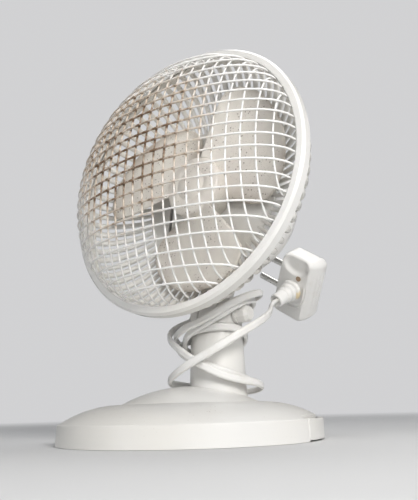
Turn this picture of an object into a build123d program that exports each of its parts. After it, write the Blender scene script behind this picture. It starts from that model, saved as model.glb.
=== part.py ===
"""Small clip-on desk fan: a domed base that is also a clip, a turning neck, and a tilting head
with a ribbed rear guard, a domed wire front guard and three wide blades.

Frame: millimetres, +Z up, origin at the centre of the base rim on the surface it stands on.
The base faces -Y.  The head is drawn in its rest pose, turned and tilted as the rest angles say.
"""

import os
from math import cos, degrees, pi, radians, sin, sqrt, tan

from build123d import *

os.makedirs("parts", exist_ok=True)

# ---------------------------------------------------------------- driving dimensions
# rest pose of the head
SWIVEL_REST = 54.0        # head turned from -Y towards +X
TILT_REST = 7.5           # head tipped up from level

# base
BASE_RADIUS = 83.0        # skirt at the standing surface
SKIRT_HEIGHT = 12.5
SKIRT_DRAFT = 1.0         # how far the skirt leans in over its height
SKIRT_LEDGE = 1.4         # step from the skirt to the dome
SKIRT_ROUND = 1.1         # rounding of the skirt's upper edge
BASE_WALL = 2.2
BOSS_RADIUS = 43.5        # raised crown in the middle of the dome
BOSS_EDGE_HEIGHT = 22.8
BOSS_CREST = 33.4
DOME_SHOULDER = (66.0, 19.4)
NOTCH_HALF_ANGLE = 36.0   # gap in the skirt for the clip lever, each side of +Y
NOTCH_DEPTH = 5.2         # radial depth of the gap

# clip jaw
JAW_GAP = 0.9             # between the jaw and the skirt
JAW_LIFT = 0.8            # underside of the jaw above the surface
JAW_PLATE = 2.4
HINGE_Y = 45.0
HINGE_Z = 8.0
PIN_DIAMETER = 4.0
PIN_LENGTH = 70.0
EYE_RADIUS = 4.6          # hinge eyes round the pin
EYE_WIDTH = 4.0
BASE_EYE_X = 31.0         # middle of the outer eyes, on the shell
LEVER_HEIGHT = 12.4
LEVER_WALL = 3.6
PAD_LENGTH = 56.0
PAD_WIDTH = 14.0
PAD_THICKNESS = 2.2
PAD_SETBACK = 21.0        # middle of the pads behind the front of the skirt
PAD_SEAT = 0.5            # depth a pad sinks into its seat

# neck
NECK_Y = 18.0             # neck axis behind the middle of the base
NECK_FOOT_WIDTH = 37.0
NECK_TOP_WIDTH = 32.0
NECK_CORNER = 14.0        # corner radius of the neck at the top
NECK_SEAT_Z = 21.6        # floor of the round seat in the base
SEAT_FLOOR = 3.6
SEAT_GAP = 0.35
SPIGOT_RADIUS = 14.4
NECK_BORE = 12.2
RETAINER_RADIUS = 18.4
RETAINER_THICKNESS = 1.8
RETAINER_SCREW_RING = 9.5 # distance of the three screws from the neck's axis
RETAINER_SCREW_RADIUS = 1.2
RETAINER_HEAD_RADIUS = 2.6
RETAINER_HEAD = 1.5
LEAD_HOLE_RADIUS = 5.0    # hole for the leads through the neck and the plate
PIVOT_Z = 77.0            # tilt axis height
EAR_RADIUS = 11.0
TONGUE_WIDTH = 14.0       # tongue of the head between the neck's ears
TONGUE_RADIUS = 10.0
TONGUE_GAP = 0.35
BOLT_DIAMETER = 5.0

# head, measured in the head's own frame: x to its side, y up, z forward out of the ring
HEAD_REACH = 50.0         # ring plane in front of the tilt axis
HEAD_RISE = 82.0          # ring centre above the tilt axis
RING_RADIUS = 92.0
RING_DEPTH = 8.0
RING_WALL = 2.15
RING_LIP = 1.2            # thickness of the ring's lip over the rim wire
RING_GAP = 0.25           # between the ring and the bowl inside it
GUARD_WALL = 2.4
GUARD_DEPTH = 36.0        # front face of the centre plate behind the ring plane
PLATE_RADIUS = 50.0
PLATE_THICKNESS = 2.0
RIB_COUNT = 72
RIB_SHARE = 0.48          # share of each pitch that is rib
MESH_DEPTH = 33.0         # crown of the wire dome in front of the ring plane
MESH_INSET = 1.0          # ends of the outer wires inside the middle of the rim wire
MESH_PITCH = 7.8
WIRE = 1.3
RIM_WIRE = 2.4
RIM_WIRE_INSET = 0.2      # middle of the rim wire inside the bowl's inner face

# motor housing
HOUSING_RADIUS = 51.0
HOUSING_PARTING = 30.0    # from the guard plate to the seam between the two covers
HOUSING_DEPTH = 50.0
HOUSING_WALL = 2.0
HOUSING_BACK_RADIUS = 33.0
FOOT_WIDTH = 34.0
FOOT_DEPTH = 21.0

# motor
SHAFT_DIAMETER = 5.0
CORE_WIDTH = 44.0
CORE_HEIGHT = 54.0
CORE_STACK = 14.0
ROTOR_RADIUS = 11.0
AIR_GAP = 0.4
COIL_LENGTH = 24.0
COIL_BUILD = 5.0
BEARING_RADIUS = 5.5
BEARING_WIDTH = 5.0
BRACKET_THICKNESS = 1.6
BRACKET_HEIGHT = 12.0
MOTOR_SETBACK = 14.0      # front of the stator behind the guard plate
PILLAR_X = 27.0           # pillars that carry the motor, each side of the axis
PILLAR_RADIUS = 3.6
STATOR_SCREW_X = 17.0
STATOR_SCREW_TOP = 15.0
STATOR_SCREW_BOTTOM = -12.0
SCREW_RADIUS = 1.6
SCREW_HOLE_RADIUS = 1.7
SCREW_HEAD_RADIUS = 2.8
SCREW_HEAD = 1.6

# blades
BLADE_TIP_RADIUS = 75.0
BLADE_COUNT = 3
HUB_RADIUS = 21.0
HUB_DEPTH = 20.0
HUB_WALL = 2.0
BLADE_THICKNESS = 1.5
BLADE_REST_ANGLE = 28.0   # turn of the blades at rest
BLADE_SPAN_ANGLE = 104.0  # how far one blade reaches round the hub
BLADE_PITCH_RISE = 19.0   # axial rise of one blade from edge to edge
BLADE_GAP = 3.0           # from the blades to the guard plate

# knob and switch
KNOB_WIDTH = 10.4
KNOB_LENGTH = 10.5
KNOB_BEVEL = 3.0
ROCKER = (13.0, 19.0)
SWITCH_FRAME = (18.0, 25.0)
SWITCH_LIP = 1.6          # flange of the frame, over the edge of its opening
ROCKER_GAP = 0.3          # round the rocker in its frame
ROCKER_PIN_RADIUS = 1.0

# cord and plug
CORD_DIAMETER = 3.6
CORD_CORNER_RADIUS = 1.9  # the six-sided section stands for the round cord
PLUG_WIDTH = 52.0
PLUG_HEIGHT = 19.0        # along the cord
PLUG_DEPTH = 30.0
COLLAR_LENGTH = 21.0
COLLAR_RADIUS = 5.0
COLLAR_RINGS = 3
COLLAR_RING_WIDTH = 3.0
COLLAR_RING_PITCH = 4.2
COLLAR_RING_STEP = 1.0    # each ring is this much bigger than the one before
CORD_FIT = 1.16           # bore of gland and collar, by the cord's size
PLUG_SHOULDER = 5.0       # rounded part of the body at each of its two broad faces
PIN_PITCH = 19.0          # between the two pins
PIN_RADIUS = 2.4
PLUG_PIN_LENGTH = 19.0
SCOOP_OFFSET = 18.0       # thumb scoop, from the middle of the plug towards its upper end
SCOOP_LENGTH = 9.0
SCOOP_WIDTH = 19.0
SCOOP_DEPTH = 1.6
PLUG_SCREW_OFFSET = 10.8
PLUG_SCREW_SHIFT = 3.0
PLUG_SCREW_RADIUS = 1.9
PLUG_SCREW_HEAD = 0.5
RUN_CLEARANCE = 0.3       # between pieces that move past each other

# ---------------------------------------------------------------- frames
side = Vector(cos(radians(SWIVEL_REST)), sin(radians(SWIVEL_REST)), 0)
level_front = Vector(sin(radians(SWIVEL_REST)), -cos(radians(SWIVEL_REST)), 0)
front = level_front * cos(radians(TILT_REST)) + Vector(0, 0, 1) * sin(radians(TILT_REST))
pivot = Vector(0, NECK_Y, PIVOT_Z)
head_up = front.cross(side)
guard_rim_radius = RING_RADIUS - RING_WALL - RING_GAP
rim_wire_radius = guard_rim_radius - GUARD_WALL - RIM_WIRE_INSET

neck = Plane(Vector(0, NECK_Y, 0), x_dir=side, z_dir=(0, 0, 1))      # y runs backwards
tilt = Plane(pivot, x_dir=-level_front, z_dir=side)                  # y runs up
head = Plane(pivot + front * HEAD_REACH + head_up * HEAD_RISE, x_dir=side, z_dir=front)
profile = Plane(head.origin, x_dir=side, z_dir=-head_up)             # x is radius, y is forward
head_axis = Axis(head.origin, front)
foot = Plane(head.origin - front * HEAD_REACH - head_up * HEAD_RISE, x_dir=side, z_dir=head_up)


def save(name, piece):
    piece.part.label = name
    export_step(piece.part, f"parts/{name}.step")


def polar(radius, angle):
    return radius * cos(radians(angle)), radius * sin(radians(angle))


# ---------------------------------------------------------------- base shell
skirt_top_radius = BASE_RADIUS - SKIRT_DRAFT
pad_y = PAD_SETBACK - BASE_RADIUS
dome_radius = skirt_top_radius - SKIRT_LEDGE
notch_radius = BASE_RADIUS - NOTCH_DEPTH
seat_radius = NECK_FOOT_WIDTH / 2 + SEAT_GAP


def dome_section(inset):
    """Half section of the base, moved inwards by the wall when it is the hollow."""
    with BuildSketch(Plane.XZ) as section:
        with BuildLine():
            lift = -1 if inset else 0
            foot_point = (BASE_RADIUS - inset, lift)
            shoulder = (skirt_top_radius - inset, SKIRT_HEIGHT - inset)
            dome_start = (dome_radius - inset, SKIRT_HEIGHT - inset)
            boss_edge = (BOSS_RADIUS, BOSS_EDGE_HEIGHT - inset)
            crest = (0, BOSS_CREST - inset)
            Line(foot_point, shoulder)
            Line(shoulder, dome_start)
            ThreePointArc(dome_start, (DOME_SHOULDER[0] - inset / 3, DOME_SHOULDER[1] - inset), boss_edge)
            arc = TangentArc(crest, boss_edge, tangent=(1, 0))
            Polyline(arc @ 0, (0, lift), foot_point)
        make_face()
        fillet(section.vertices().sort_by_distance(shoulder)[0], SKIRT_ROUND)
    return section


with BuildPart() as base_solid:
    add(dome_section(0).sketch)
    revolve(axis=Axis.Z)

with BuildPart() as base_inside:
    add(dome_section(BASE_WALL).sketch)
    revolve(axis=Axis.Z)

with BuildPart() as base_ribs:
    for x in (-BASE_EYE_X, BASE_EYE_X):
        with BuildSketch(Plane.YZ.offset(x - EYE_WIDTH / 2)):
            with Locations((HINGE_Y, HINGE_Z)):
                Circle(EYE_RADIUS)
            with Locations((HINGE_Y, HINGE_Z + 10)):
                Rectangle(2 * EYE_RADIUS, 20)
        extrude(amount=EYE_WIDTH)
    # block that backs the upper grip pad
    with BuildSketch(Plane.XY.offset(JAW_LIFT + JAW_PLATE + 2 * PAD_THICKNESS - PAD_SEAT + RUN_CLEARANCE)):
        with Locations((0, pad_y)):
            RectangleRounded(PAD_LENGTH + 6, PAD_WIDTH + 4, 3)
    extrude(amount=BOSS_CREST)
    # round seat that carries the neck
    with BuildSketch(Plane.XY.offset(NECK_SEAT_Z - SEAT_FLOOR)):
        with Locations((0, NECK_Y)):
            Circle(seat_radius + BASE_WALL)
    extrude(amount=BOSS_CREST)
    add(base_solid.part, mode=Mode.INTERSECT)

with BuildPart() as base_shell:
    add(base_solid.part)
    add(base_inside.part, mode=Mode.SUBTRACT)
    add(base_ribs.part)
    # seat and bore for the neck
    with BuildSketch(Plane.XY.offset(NECK_SEAT_Z)):
        with Locations((0, NECK_Y)):
            Circle(seat_radius)
    extrude(amount=BOSS_CREST, mode=Mode.SUBTRACT)
    with BuildSketch(Plane.XY):
        with Locations((0, NECK_Y)):
            Circle(SPIGOT_RADIUS + SEAT_GAP)
    extrude(amount=BOSS_CREST, mode=Mode.SUBTRACT)
    # gap in the skirt where the clip lever sits
    with BuildSketch(Plane.XY.offset(-1)):
        with BuildLine():
            edge_a = polar(2 * BASE_RADIUS, 90 - NOTCH_HALF_ANGLE)
            edge_b = polar(2 * BASE_RADIUS, 90 + NOTCH_HALF_ANGLE)
            Polyline((0, 0), edge_a, edge_b, (0, 0))
        make_face()
        Circle(notch_radius, mode=Mode.SUBTRACT)
    extrude(amount=BOSS_CREST, mode=Mode.SUBTRACT)
    # pin holes and the pocket for the upper pad
    with BuildSketch(Plane.YZ.offset(-PIN_LENGTH / 2)):
        with Locations((HINGE_Y, HINGE_Z)):
            Circle(PIN_DIAMETER / 2)
    extrude(amount=PIN_LENGTH, mode=Mode.SUBTRACT)
    pad_pocket_z = JAW_LIFT + JAW_PLATE + 2 * PAD_THICKNESS - PAD_SEAT + RUN_CLEARANCE
    with BuildSketch(Plane.XY.offset(pad_pocket_z)):
        with Locations((0, pad_y)):
            RectangleRounded(PAD_LENGTH, PAD_WIDTH, 2)
    extrude(amount=PAD_SEAT, mode=Mode.SUBTRACT)
save("base_shell", base_shell)

with BuildPart() as hinge_pin:
    with BuildSketch(Plane.YZ.offset(-PIN_LENGTH / 2)):
        with Locations((HINGE_Y, HINGE_Z)):
            Circle(PIN_DIAMETER / 2)
    extrude(amount=PIN_LENGTH)
    chamfer(hinge_pin.edges().filter_by(GeomType.CIRCLE), 0.5)
save("hinge_pin", hinge_pin)

with BuildPart() as upper_pad:
    with BuildSketch(Plane.XY.offset(pad_pocket_z + PAD_SEAT - PAD_THICKNESS)):
        with Locations((0, pad_y)):
            RectangleRounded(PAD_LENGTH, PAD_WIDTH, 2)
    extrude(amount=PAD_THICKNESS)
save("upper_pad", upper_pad)

# ---------------------------------------------------------------- clip jaw
jaw_radius = BASE_RADIUS - BASE_WALL - JAW_GAP - SKIRT_DRAFT
jaw_eye_x = BASE_EYE_X - EYE_WIDTH - RUN_CLEARANCE
lever_angle = NOTCH_HALF_ANGLE - degrees(JAW_GAP / BASE_RADIUS)

with BuildPart() as clip_jaw:
    with BuildSketch(Plane.XY.offset(JAW_LIFT)):
        Circle(jaw_radius)
        Circle(jaw_radius - 22, mode=Mode.SUBTRACT)
        with Locations((0, HINGE_Y - 4)):
            Rectangle(2 * jaw_eye_x + EYE_WIDTH, 22)
        with Locations((0, -6)):
            Rectangle(16, 2 * jaw_radius - 40)
        with Locations((0, pad_y + 4)):
            Rectangle(PAD_LENGTH + 10, PAD_WIDTH + 12)
        Circle(jaw_radius, mode=Mode.INTERSECT)
    extrude(amount=JAW_PLATE)
    # hinge eyes inside the shell's eyes
    for x in (-jaw_eye_x, jaw_eye_x):
        with BuildSketch(Plane.YZ.offset(x - EYE_WIDTH / 2)):
            with Locations((HINGE_Y, HINGE_Z)):
                Circle(EYE_RADIUS - RUN_CLEARANCE)
            with Locations((HINGE_Y, (HINGE_Z + JAW_LIFT) / 2)):
                Rectangle(2 * (EYE_RADIUS - RUN_CLEARANCE), HINGE_Z - JAW_LIFT)
        extrude(amount=EYE_WIDTH)
    # lever that fills the gap in the skirt
    with BuildSketch(Plane.XY.offset(JAW_LIFT)):
        with BuildLine():
            lever_a = polar(2 * BASE_RADIUS, 90 - lever_angle)
            lever_b = polar(2 * BASE_RADIUS, 90 + lever_angle)
            Polyline((0, 0), lever_a, lever_b, (0, 0))
        make_face()
        Circle(BASE_RADIUS - SKIRT_DRAFT / 2, mode=Mode.INTERSECT)
        Circle(BASE_RADIUS - LEVER_WALL, mode=Mode.SUBTRACT)
    extrude(amount=LEVER_HEIGHT - JAW_LIFT)
    with BuildSketch(Plane.XY.offset(JAW_LIFT)):
        with BuildLine():
            Polyline((0, 0), lever_a, lever_b, (0, 0))
        make_face()
        Circle(BASE_RADIUS - SKIRT_DRAFT / 2, mode=Mode.INTERSECT)
        Circle(jaw_radius - 6, mode=Mode.SUBTRACT)
    extrude(amount=JAW_PLATE)
    # pocket for the lower pad, pin bore
    with BuildSketch(Plane.XY.offset(JAW_LIFT + JAW_PLATE - PAD_SEAT)):
        with Locations((0, pad_y)):
            RectangleRounded(PAD_LENGTH, PAD_WIDTH, 2)
    extrude(amount=PAD_SEAT, mode=Mode.SUBTRACT)
    with BuildSketch(Plane.YZ.offset(-BASE_RADIUS)):
        with Locations((HINGE_Y, HINGE_Z)):
            Circle(PIN_DIAMETER / 2 + 0.1)
    extrude(amount=2 * BASE_RADIUS, mode=Mode.SUBTRACT)
    lever_corners = clip_jaw.edges().filter_by(Axis.Z).group_by(SortBy.LENGTH)[-1]
    lever_corners = lever_corners.sort_by(Axis((0, 0, 0), (0, 1, 0)))
    fillet([edge for edge in lever_corners if edge.center().length > BASE_RADIUS - 2], 1.2)
save("clip_jaw", clip_jaw)

with BuildPart() as lower_pad:
    with BuildSketch(Plane.XY.offset(JAW_LIFT + JAW_PLATE - PAD_SEAT)):
        with Locations((0, pad_y)):
            RectangleRounded(PAD_LENGTH, PAD_WIDTH, 2)
    extrude(amount=PAD_THICKNESS)
save("lower_pad", lower_pad)

# torsion spring wound round the hinge pin, one leg against the jaw and one against the dome
SPRING_WIRE = 1.4
SPRING_RADIUS = 3.9
SPRING_TURNS = 5
SPRING_SIDES = 10
spring_pitch = SPRING_WIRE + 0.6


def spring_point(step):
    turn = 2 * pi * step / SPRING_SIDES
    x = spring_pitch * (step / SPRING_SIDES - SPRING_TURNS / 2)
    return x, HINGE_Y + SPRING_RADIUS * cos(turn), HINGE_Z + SPRING_RADIUS * sin(turn)


with BuildPart() as clip_spring:
    with BuildLine() as spring_path:
        coil_points = [spring_point(step) for step in range(SPRING_SIDES * SPRING_TURNS - 1)]
        first = coil_points[0]
        last = coil_points[-1]
        leg_down = (first[0], first[1] - 0.5, JAW_LIFT + JAW_PLATE + SPRING_WIRE / 2 + 0.35)
        leg_back = (first[0], HINGE_Y + 15, JAW_LIFT + JAW_PLATE + SPRING_WIRE / 2 + 0.3)
        leg_up = (last[0], HINGE_Y + 14, HINGE_Z + 5.2)
        Polyline(leg_back, leg_down, *coil_points, leg_up)
    with BuildSketch(Plane(leg_back, x_dir=(1, 0, 0), z_dir=spring_path.wires()[0] % 0)):
        Rectangle(SPRING_WIRE * 0.9, SPRING_WIRE * 0.9)
    sweep(path=spring_path.wires()[0], transition=Transition.RIGHT)
save("clip_spring", clip_spring)

# ---------------------------------------------------------------- neck
ear_gap = TONGUE_WIDTH + 2 * TONGUE_GAP
slot_floor = PIVOT_Z - EAR_RADIUS - 2.0

with BuildPart() as ear_shape:
    with BuildSketch(tilt.offset(-NECK_FOOT_WIDTH)):
        with BuildLine():
            half = NECK_FOOT_WIDTH
            drop = NECK_SEAT_Z - PIVOT_Z
            shoulder_y = -EAR_RADIUS - 1
            Polyline((-half, drop), (half, drop), (half, shoulder_y - 4),
                     (NECK_TOP_WIDTH / 2, shoulder_y), (EAR_RADIUS * 0.8, EAR_RADIUS * 0.6),
                     (-EAR_RADIUS * 0.8, EAR_RADIUS * 0.6), (-NECK_TOP_WIDTH / 2, shoulder_y),
                     (-half, shoulder_y - 4), (-half, drop))
        make_face()
        Circle(EAR_RADIUS)
    extrude(amount=2 * NECK_FOOT_WIDTH)

with BuildPart() as neck_column:
    with BuildSketch(neck.offset(NECK_SEAT_Z + SEAT_GAP)):
        RectangleRounded(NECK_FOOT_WIDTH, NECK_FOOT_WIDTH, NECK_FOOT_WIDTH / 2 - 0.1)
    with BuildSketch(neck.offset(PIVOT_Z - EAR_RADIUS)):
        RectangleRounded(NECK_TOP_WIDTH, NECK_TOP_WIDTH, NECK_CORNER)
    loft()
    with BuildSketch(neck.offset(PIVOT_Z - EAR_RADIUS)):
        RectangleRounded(NECK_TOP_WIDTH, NECK_TOP_WIDTH, NECK_CORNER)
    extrude(amount=2 * EAR_RADIUS)
    add(ear_shape.part, mode=Mode.INTERSECT)
    # slot for the tongue of the head
    with BuildSketch(tilt.offset(-ear_gap / 2)):
        with Locations((0, (EAR_RADIUS + 3) / 2)):
            Rectangle(3 * EAR_RADIUS + 4, EAR_RADIUS + 3 + 0.01)
        Circle(EAR_RADIUS + 1.2)
    extrude(amount=ear_gap, mode=Mode.SUBTRACT)
    # spigot that turns in the base, hollow for the leads
    with BuildSketch(neck.offset(NECK_SEAT_Z - SEAT_FLOOR - RUN_CLEARANCE)):
        Circle(SPIGOT_RADIUS)
    extrude(amount=SEAT_FLOOR + RUN_CLEARANCE + SEAT_GAP)
    with BuildSketch(neck.offset(NECK_SEAT_Z + SEAT_GAP + 2)):
        Circle(NECK_BORE)
    extrude(amount=PIVOT_Z - EAR_RADIUS - NECK_SEAT_Z - 10, mode=Mode.SUBTRACT)
    with BuildSketch(neck.offset(NECK_SEAT_Z - 10)):
        Circle(LEAD_HOLE_RADIUS)
    extrude(amount=PIVOT_Z - NECK_SEAT_Z, mode=Mode.SUBTRACT)
    # bolt hole across the ears
    with BuildSketch(tilt.offset(-NECK_TOP_WIDTH)):
        Circle(BOLT_DIAMETER / 2 + 0.05)
    extrude(amount=2 * NECK_TOP_WIDTH, mode=Mode.SUBTRACT)
save("neck_column", neck_column)

retainer_z = NECK_SEAT_Z - SEAT_FLOOR - RUN_CLEARANCE - RETAINER_THICKNESS
with BuildPart() as neck_retainer:
    with BuildSketch(neck.offset(retainer_z)):
        Circle(RETAINER_RADIUS)
        Circle(LEAD_HOLE_RADIUS, mode=Mode.SUBTRACT)
        with PolarLocations(RETAINER_SCREW_RING, 3):
            Circle(RETAINER_SCREW_RADIUS + 0.1, mode=Mode.SUBTRACT)
    extrude(amount=RETAINER_THICKNESS)
save("neck_retainer", neck_retainer)

with BuildPart() as retainer_screws:
    with BuildSketch(neck.offset(retainer_z - RETAINER_HEAD)):
        with PolarLocations(RETAINER_SCREW_RING, 3):
            Circle(RETAINER_HEAD_RADIUS)
    extrude(amount=RETAINER_HEAD)
    with BuildSketch(neck.offset(retainer_z)):
        with PolarLocations(RETAINER_SCREW_RING, 3):
            Circle(RETAINER_SCREW_RADIUS)
    extrude(amount=RETAINER_THICKNESS)
save("retainer_screws", retainer_screws)

# ---------------------------------------------------------------- tilt bolt and knob
bolt_reach = NECK_TOP_WIDTH / 2
with BuildPart() as tilt_bolt:
    with BuildSketch(tilt.offset(-bolt_reach - 3.2)):
        RegularPolygon(4.6, 6)
    extrude(amount=3.2)
    with BuildSketch(tilt.offset(-bolt_reach)):
        Circle(BOLT_DIAMETER / 2)
    extrude(amount=2 * bolt_reach + 7)
save("tilt_bolt", tilt_bolt)

with BuildPart() as tilt_knob:
    with BuildSketch(tilt.offset(bolt_reach + RUN_CLEARANCE)):
        Circle(KNOB_WIDTH / 2 + 0.8)
    extrude(amount=2)
    with BuildSketch(tilt.offset(bolt_reach + RUN_CLEARANCE + 2)):
        RegularPolygon(KNOB_WIDTH / 2, 8, major_radius=False, rotation=22.5)
    extrude(amount=KNOB_LENGTH - 2)
    end_face = tilt_knob.faces().sort_by(Axis(pivot, side))[-1]
    chamfer(end_face.edges(), KNOB_BEVEL * 0.8, KNOB_BEVEL * 0.5)
    with BuildSketch(tilt.offset(bolt_reach)):
        Circle(BOLT_DIAMETER / 2 + 0.1)
    extrude(amount=7.5, mode=Mode.SUBTRACT)
save("tilt_knob", tilt_knob)

# ---------------------------------------------------------------- rear guard
plate_back = -GUARD_DEPTH - PLATE_THICKNESS
rim_front = -RING_DEPTH + 2.2
rib_start = PLATE_RADIUS + 3.0

# inner line of the bowl, from the rim to the centre plate, as flat conical bands
BOWL_BANDS = 5


def bowl_point(share, outset):
    """A quarter ellipse from the rim (share 0) to the plate (share 1)."""
    reach = guard_rim_radius - GUARD_WALL - PLATE_RADIUS
    drop = GUARD_DEPTH + rim_front - 4
    angle = share * pi / 2
    radius = PLATE_RADIUS + (reach + outset) * cos(angle)
    return radius, rim_front - 4 - (drop + outset * PLATE_THICKNESS / GUARD_WALL) * sin(angle)


with BuildPart() as rear_guard:
    with BuildSketch(profile) as bowl_face:
        with BuildLine():
            shares = [step / BOWL_BANDS for step in range(BOWL_BANDS + 1)]
            inner = [bowl_point(share, 0) for share in shares]
            outer = [bowl_point(share, GUARD_WALL) for share in reversed(shares)]
            Polyline((guard_rim_radius - GUARD_WALL, rim_front), *inner, (7, -GUARD_DEPTH),
                     (7, plate_back), *outer, (guard_rim_radius, rim_front),
                     (guard_rim_radius - GUARD_WALL, rim_front))
        make_face()
    revolve(axis=head_axis)
    # radial slots between the ribs, open round the corner of the bowl
    half_slot = 180 / RIB_COUNT * (1 - RIB_SHARE)
    with BuildSketch(head.offset(-RING_DEPTH - 2.5)):
        with PolarLocations(0, RIB_COUNT):
            Polygon(polar(rib_start, half_slot), polar(rib_start, -half_slot),
                    polar(RING_RADIUS + 5, -half_slot), polar(RING_RADIUS + 5, half_slot), align=None)
    extrude(amount=-2 * GUARD_DEPTH, mode=Mode.SUBTRACT)
    # cooling slots in the plate, beside the hub
    with BuildSketch(head.offset(-GUARD_DEPTH + 1)):
        with Locations((-33, -8), (-38, -8), (33, -8), (38, -8)):
            SlotOverall(24, 2.4, rotation=90)
    extrude(amount=-PLATE_THICKNESS - 2, mode=Mode.SUBTRACT)
    # pillars that carry the motor, and posts for the housing screws
    pillar_height = MOTOR_SETBACK - BRACKET_THICKNESS - PLATE_THICKNESS
    with BuildSketch(head.offset(plate_back)):
        with Locations((-PILLAR_X, 0), (PILLAR_X, 0)):
            Circle(PILLAR_RADIUS)
    extrude(amount=-pillar_height)
save("rear_guard", rear_guard)

# ---------------------------------------------------------------- ring and wire front guard
with BuildPart() as guard_ring:
    with BuildSketch(profile):
        with BuildLine():
            inside = guard_rim_radius + RING_GAP
            Polyline((inside, -RING_DEPTH), (RING_RADIUS - 0.7, -RING_DEPTH), (RING_RADIUS, -RING_DEPTH + 1),
                     (RING_RADIUS, -1.5), (RING_RADIUS - 1.5, 0), (rim_wire_radius, 0),
                     (rim_wire_radius, -RING_LIP), (inside - RING_LIP, -RING_LIP), (inside, -2 * RING_LIP),
                     (inside, -RING_DEPTH))
        make_face()
    revolve(axis=head_axis)
save("guard_ring", guard_ring)

with BuildPart() as rim_wire:
    with BuildSketch(profile):
        with Locations((rim_wire_radius, -RING_LIP - RIM_WIRE / 2 - 0.05)):
            Circle(RIM_WIRE / 2)
    revolve(axis=head_axis)
save("rim_wire", rim_wire)

mesh_radius = rim_wire_radius - MESH_INSET
mesh_crown = MESH_DEPTH + RING_LIP    # height of the dome over the ends of its wires
WIRE_RUN = 10.0           # a wire is drawn as straight runs of about this length
WIRE_LAYER = 1.7 * WIRE   # from the outer layer of wires to the inner one


def wire_outline(offset_from_axis, inset):
    """Thin strip along the half ellipse that a plane cuts from the dome, as a closed polygon."""
    radius = mesh_radius - inset
    share = sqrt(1 - (offset_from_axis / radius) ** 2)
    reach = radius * share
    rise = (mesh_crown - inset) * share
    runs = 2 * max(2, round((reach + rise) / WIRE_RUN * 0.8))
    outside = []
    inside = []
    for step in range(runs + 1):
        a = pi * (step / runs - 0.5)
        tilt_x = rise * sin(a)
        tilt_y = reach * cos(a)
        half = WIRE / 2 / sqrt(tilt_x ** 2 + tilt_y ** 2)
        outside.append((reach * sin(a) + tilt_x * half, rise * cos(a) + tilt_y * half - RING_LIP))
        inside.append((reach * sin(a) - tilt_x * half, rise * cos(a) - tilt_y * half - RING_LIP))
    return outside + inside[::-1] + outside[:1]


wire_steps = int((mesh_radius - WIRE_LAYER - WIRE) / MESH_PITCH)
wire_offsets = [MESH_PITCH * step for step in range(-wire_steps, wire_steps + 1)]

# each family of wires lies in planes square to one axis of the head
across_plane = Plane(head.origin, x_dir=side, z_dir=-head_up)        # y is forward
upright_plane = Plane(head.origin, x_dir=-head_up, z_dir=-side)      # y is forward

with BuildPart() as wires_across:
    for offset_up in wire_offsets:
        with BuildSketch(across_plane.offset(-offset_up - WIRE / 2)):
            with BuildLine():
                Polyline(*wire_outline(offset_up, 0))
            make_face()
        extrude(amount=WIRE)
save("wires_across", wires_across)

with BuildPart() as wires_upright:
    for offset_side in wire_offsets:
        with BuildSketch(upright_plane.offset(-offset_side - WIRE / 2)):
            with BuildLine():
                Polyline(*wire_outline(offset_side, WIRE_LAYER))
            make_face()
        extrude(amount=WIRE)
save("wires_upright", wires_upright)

# ---------------------------------------------------------------- motor housing
housing_front_z = plate_back
parting_z = housing_front_z - HOUSING_PARTING
housing_back_z = housing_front_z - HOUSING_DEPTH
parting_radius = HOUSING_RADIUS - 2.5


def housing_section(inset):
    with BuildSketch(profile) as section:
        with BuildLine():
            front_edge = (HOUSING_RADIUS - inset, housing_front_z + (1 if inset else 0))
            seam = (parting_radius - inset, parting_z)
            back = (HOUSING_BACK_RADIUS - inset, housing_back_z + inset)
            Line(front_edge, seam)
            TangentArc(seam, back, tangent=(seam[0] - front_edge[0], seam[1] - front_edge[1]))
            Polyline(back, (0, back[1]), (0, front_edge[1]), front_edge)
        make_face()
    return section


with BuildPart() as foot_solid:
    with BuildSketch(foot.offset(TONGUE_RADIUS + 3)):
        RectangleRounded(TONGUE_WIDTH, 2 * TONGUE_RADIUS, 3)
    with BuildSketch(foot.offset(TONGUE_RADIUS + 12)):
        RectangleRounded(TONGUE_WIDTH + 6, FOOT_DEPTH, 5)
    with BuildSketch(foot.offset(HEAD_RISE - HOUSING_RADIUS + 16)):
        RectangleRounded(FOOT_WIDTH, FOOT_DEPTH + 1, 7)
    loft(ruled=True)
    # tongue between the ears of the neck
    with BuildSketch(Plane(foot.origin, x_dir=head_up, z_dir=side).offset(-TONGUE_WIDTH / 2)):
        Circle(TONGUE_RADIUS)
        with Locations(((TONGUE_RADIUS + 3) / 2, 0)):
            Rectangle(TONGUE_RADIUS + 3, 2 * TONGUE_RADIUS)
    extrude(amount=TONGUE_WIDTH)

with BuildPart() as housing_solid:
    add(housing_section(0).sketch)
    revolve(axis=head_axis)
    add(foot_solid.part)

with BuildPart() as housing_inside:
    add(housing_section(HOUSING_WALL).sketch)
    revolve(axis=head_axis)

with BuildPart() as housing_front:
    add(housing_solid.part)
    add(housing_inside.part, mode=Mode.SUBTRACT)
    split(bisect_by=head.offset(parting_z + 0.1), keep=Keep.TOP)
    # bolt hole and lead passage
    with BuildSketch(tilt.offset(-NECK_TOP_WIDTH)):
        Circle(BOLT_DIAMETER / 2)
    extrude(amount=2 * NECK_TOP_WIDTH, mode=Mode.SUBTRACT)
    with BuildSketch(foot.offset(TONGUE_RADIUS + 2)):
        Circle(3.5)
    extrude(amount=HEAD_RISE - HOUSING_RADIUS + 6, mode=Mode.SUBTRACT)
save("housing_front", housing_front)

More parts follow.
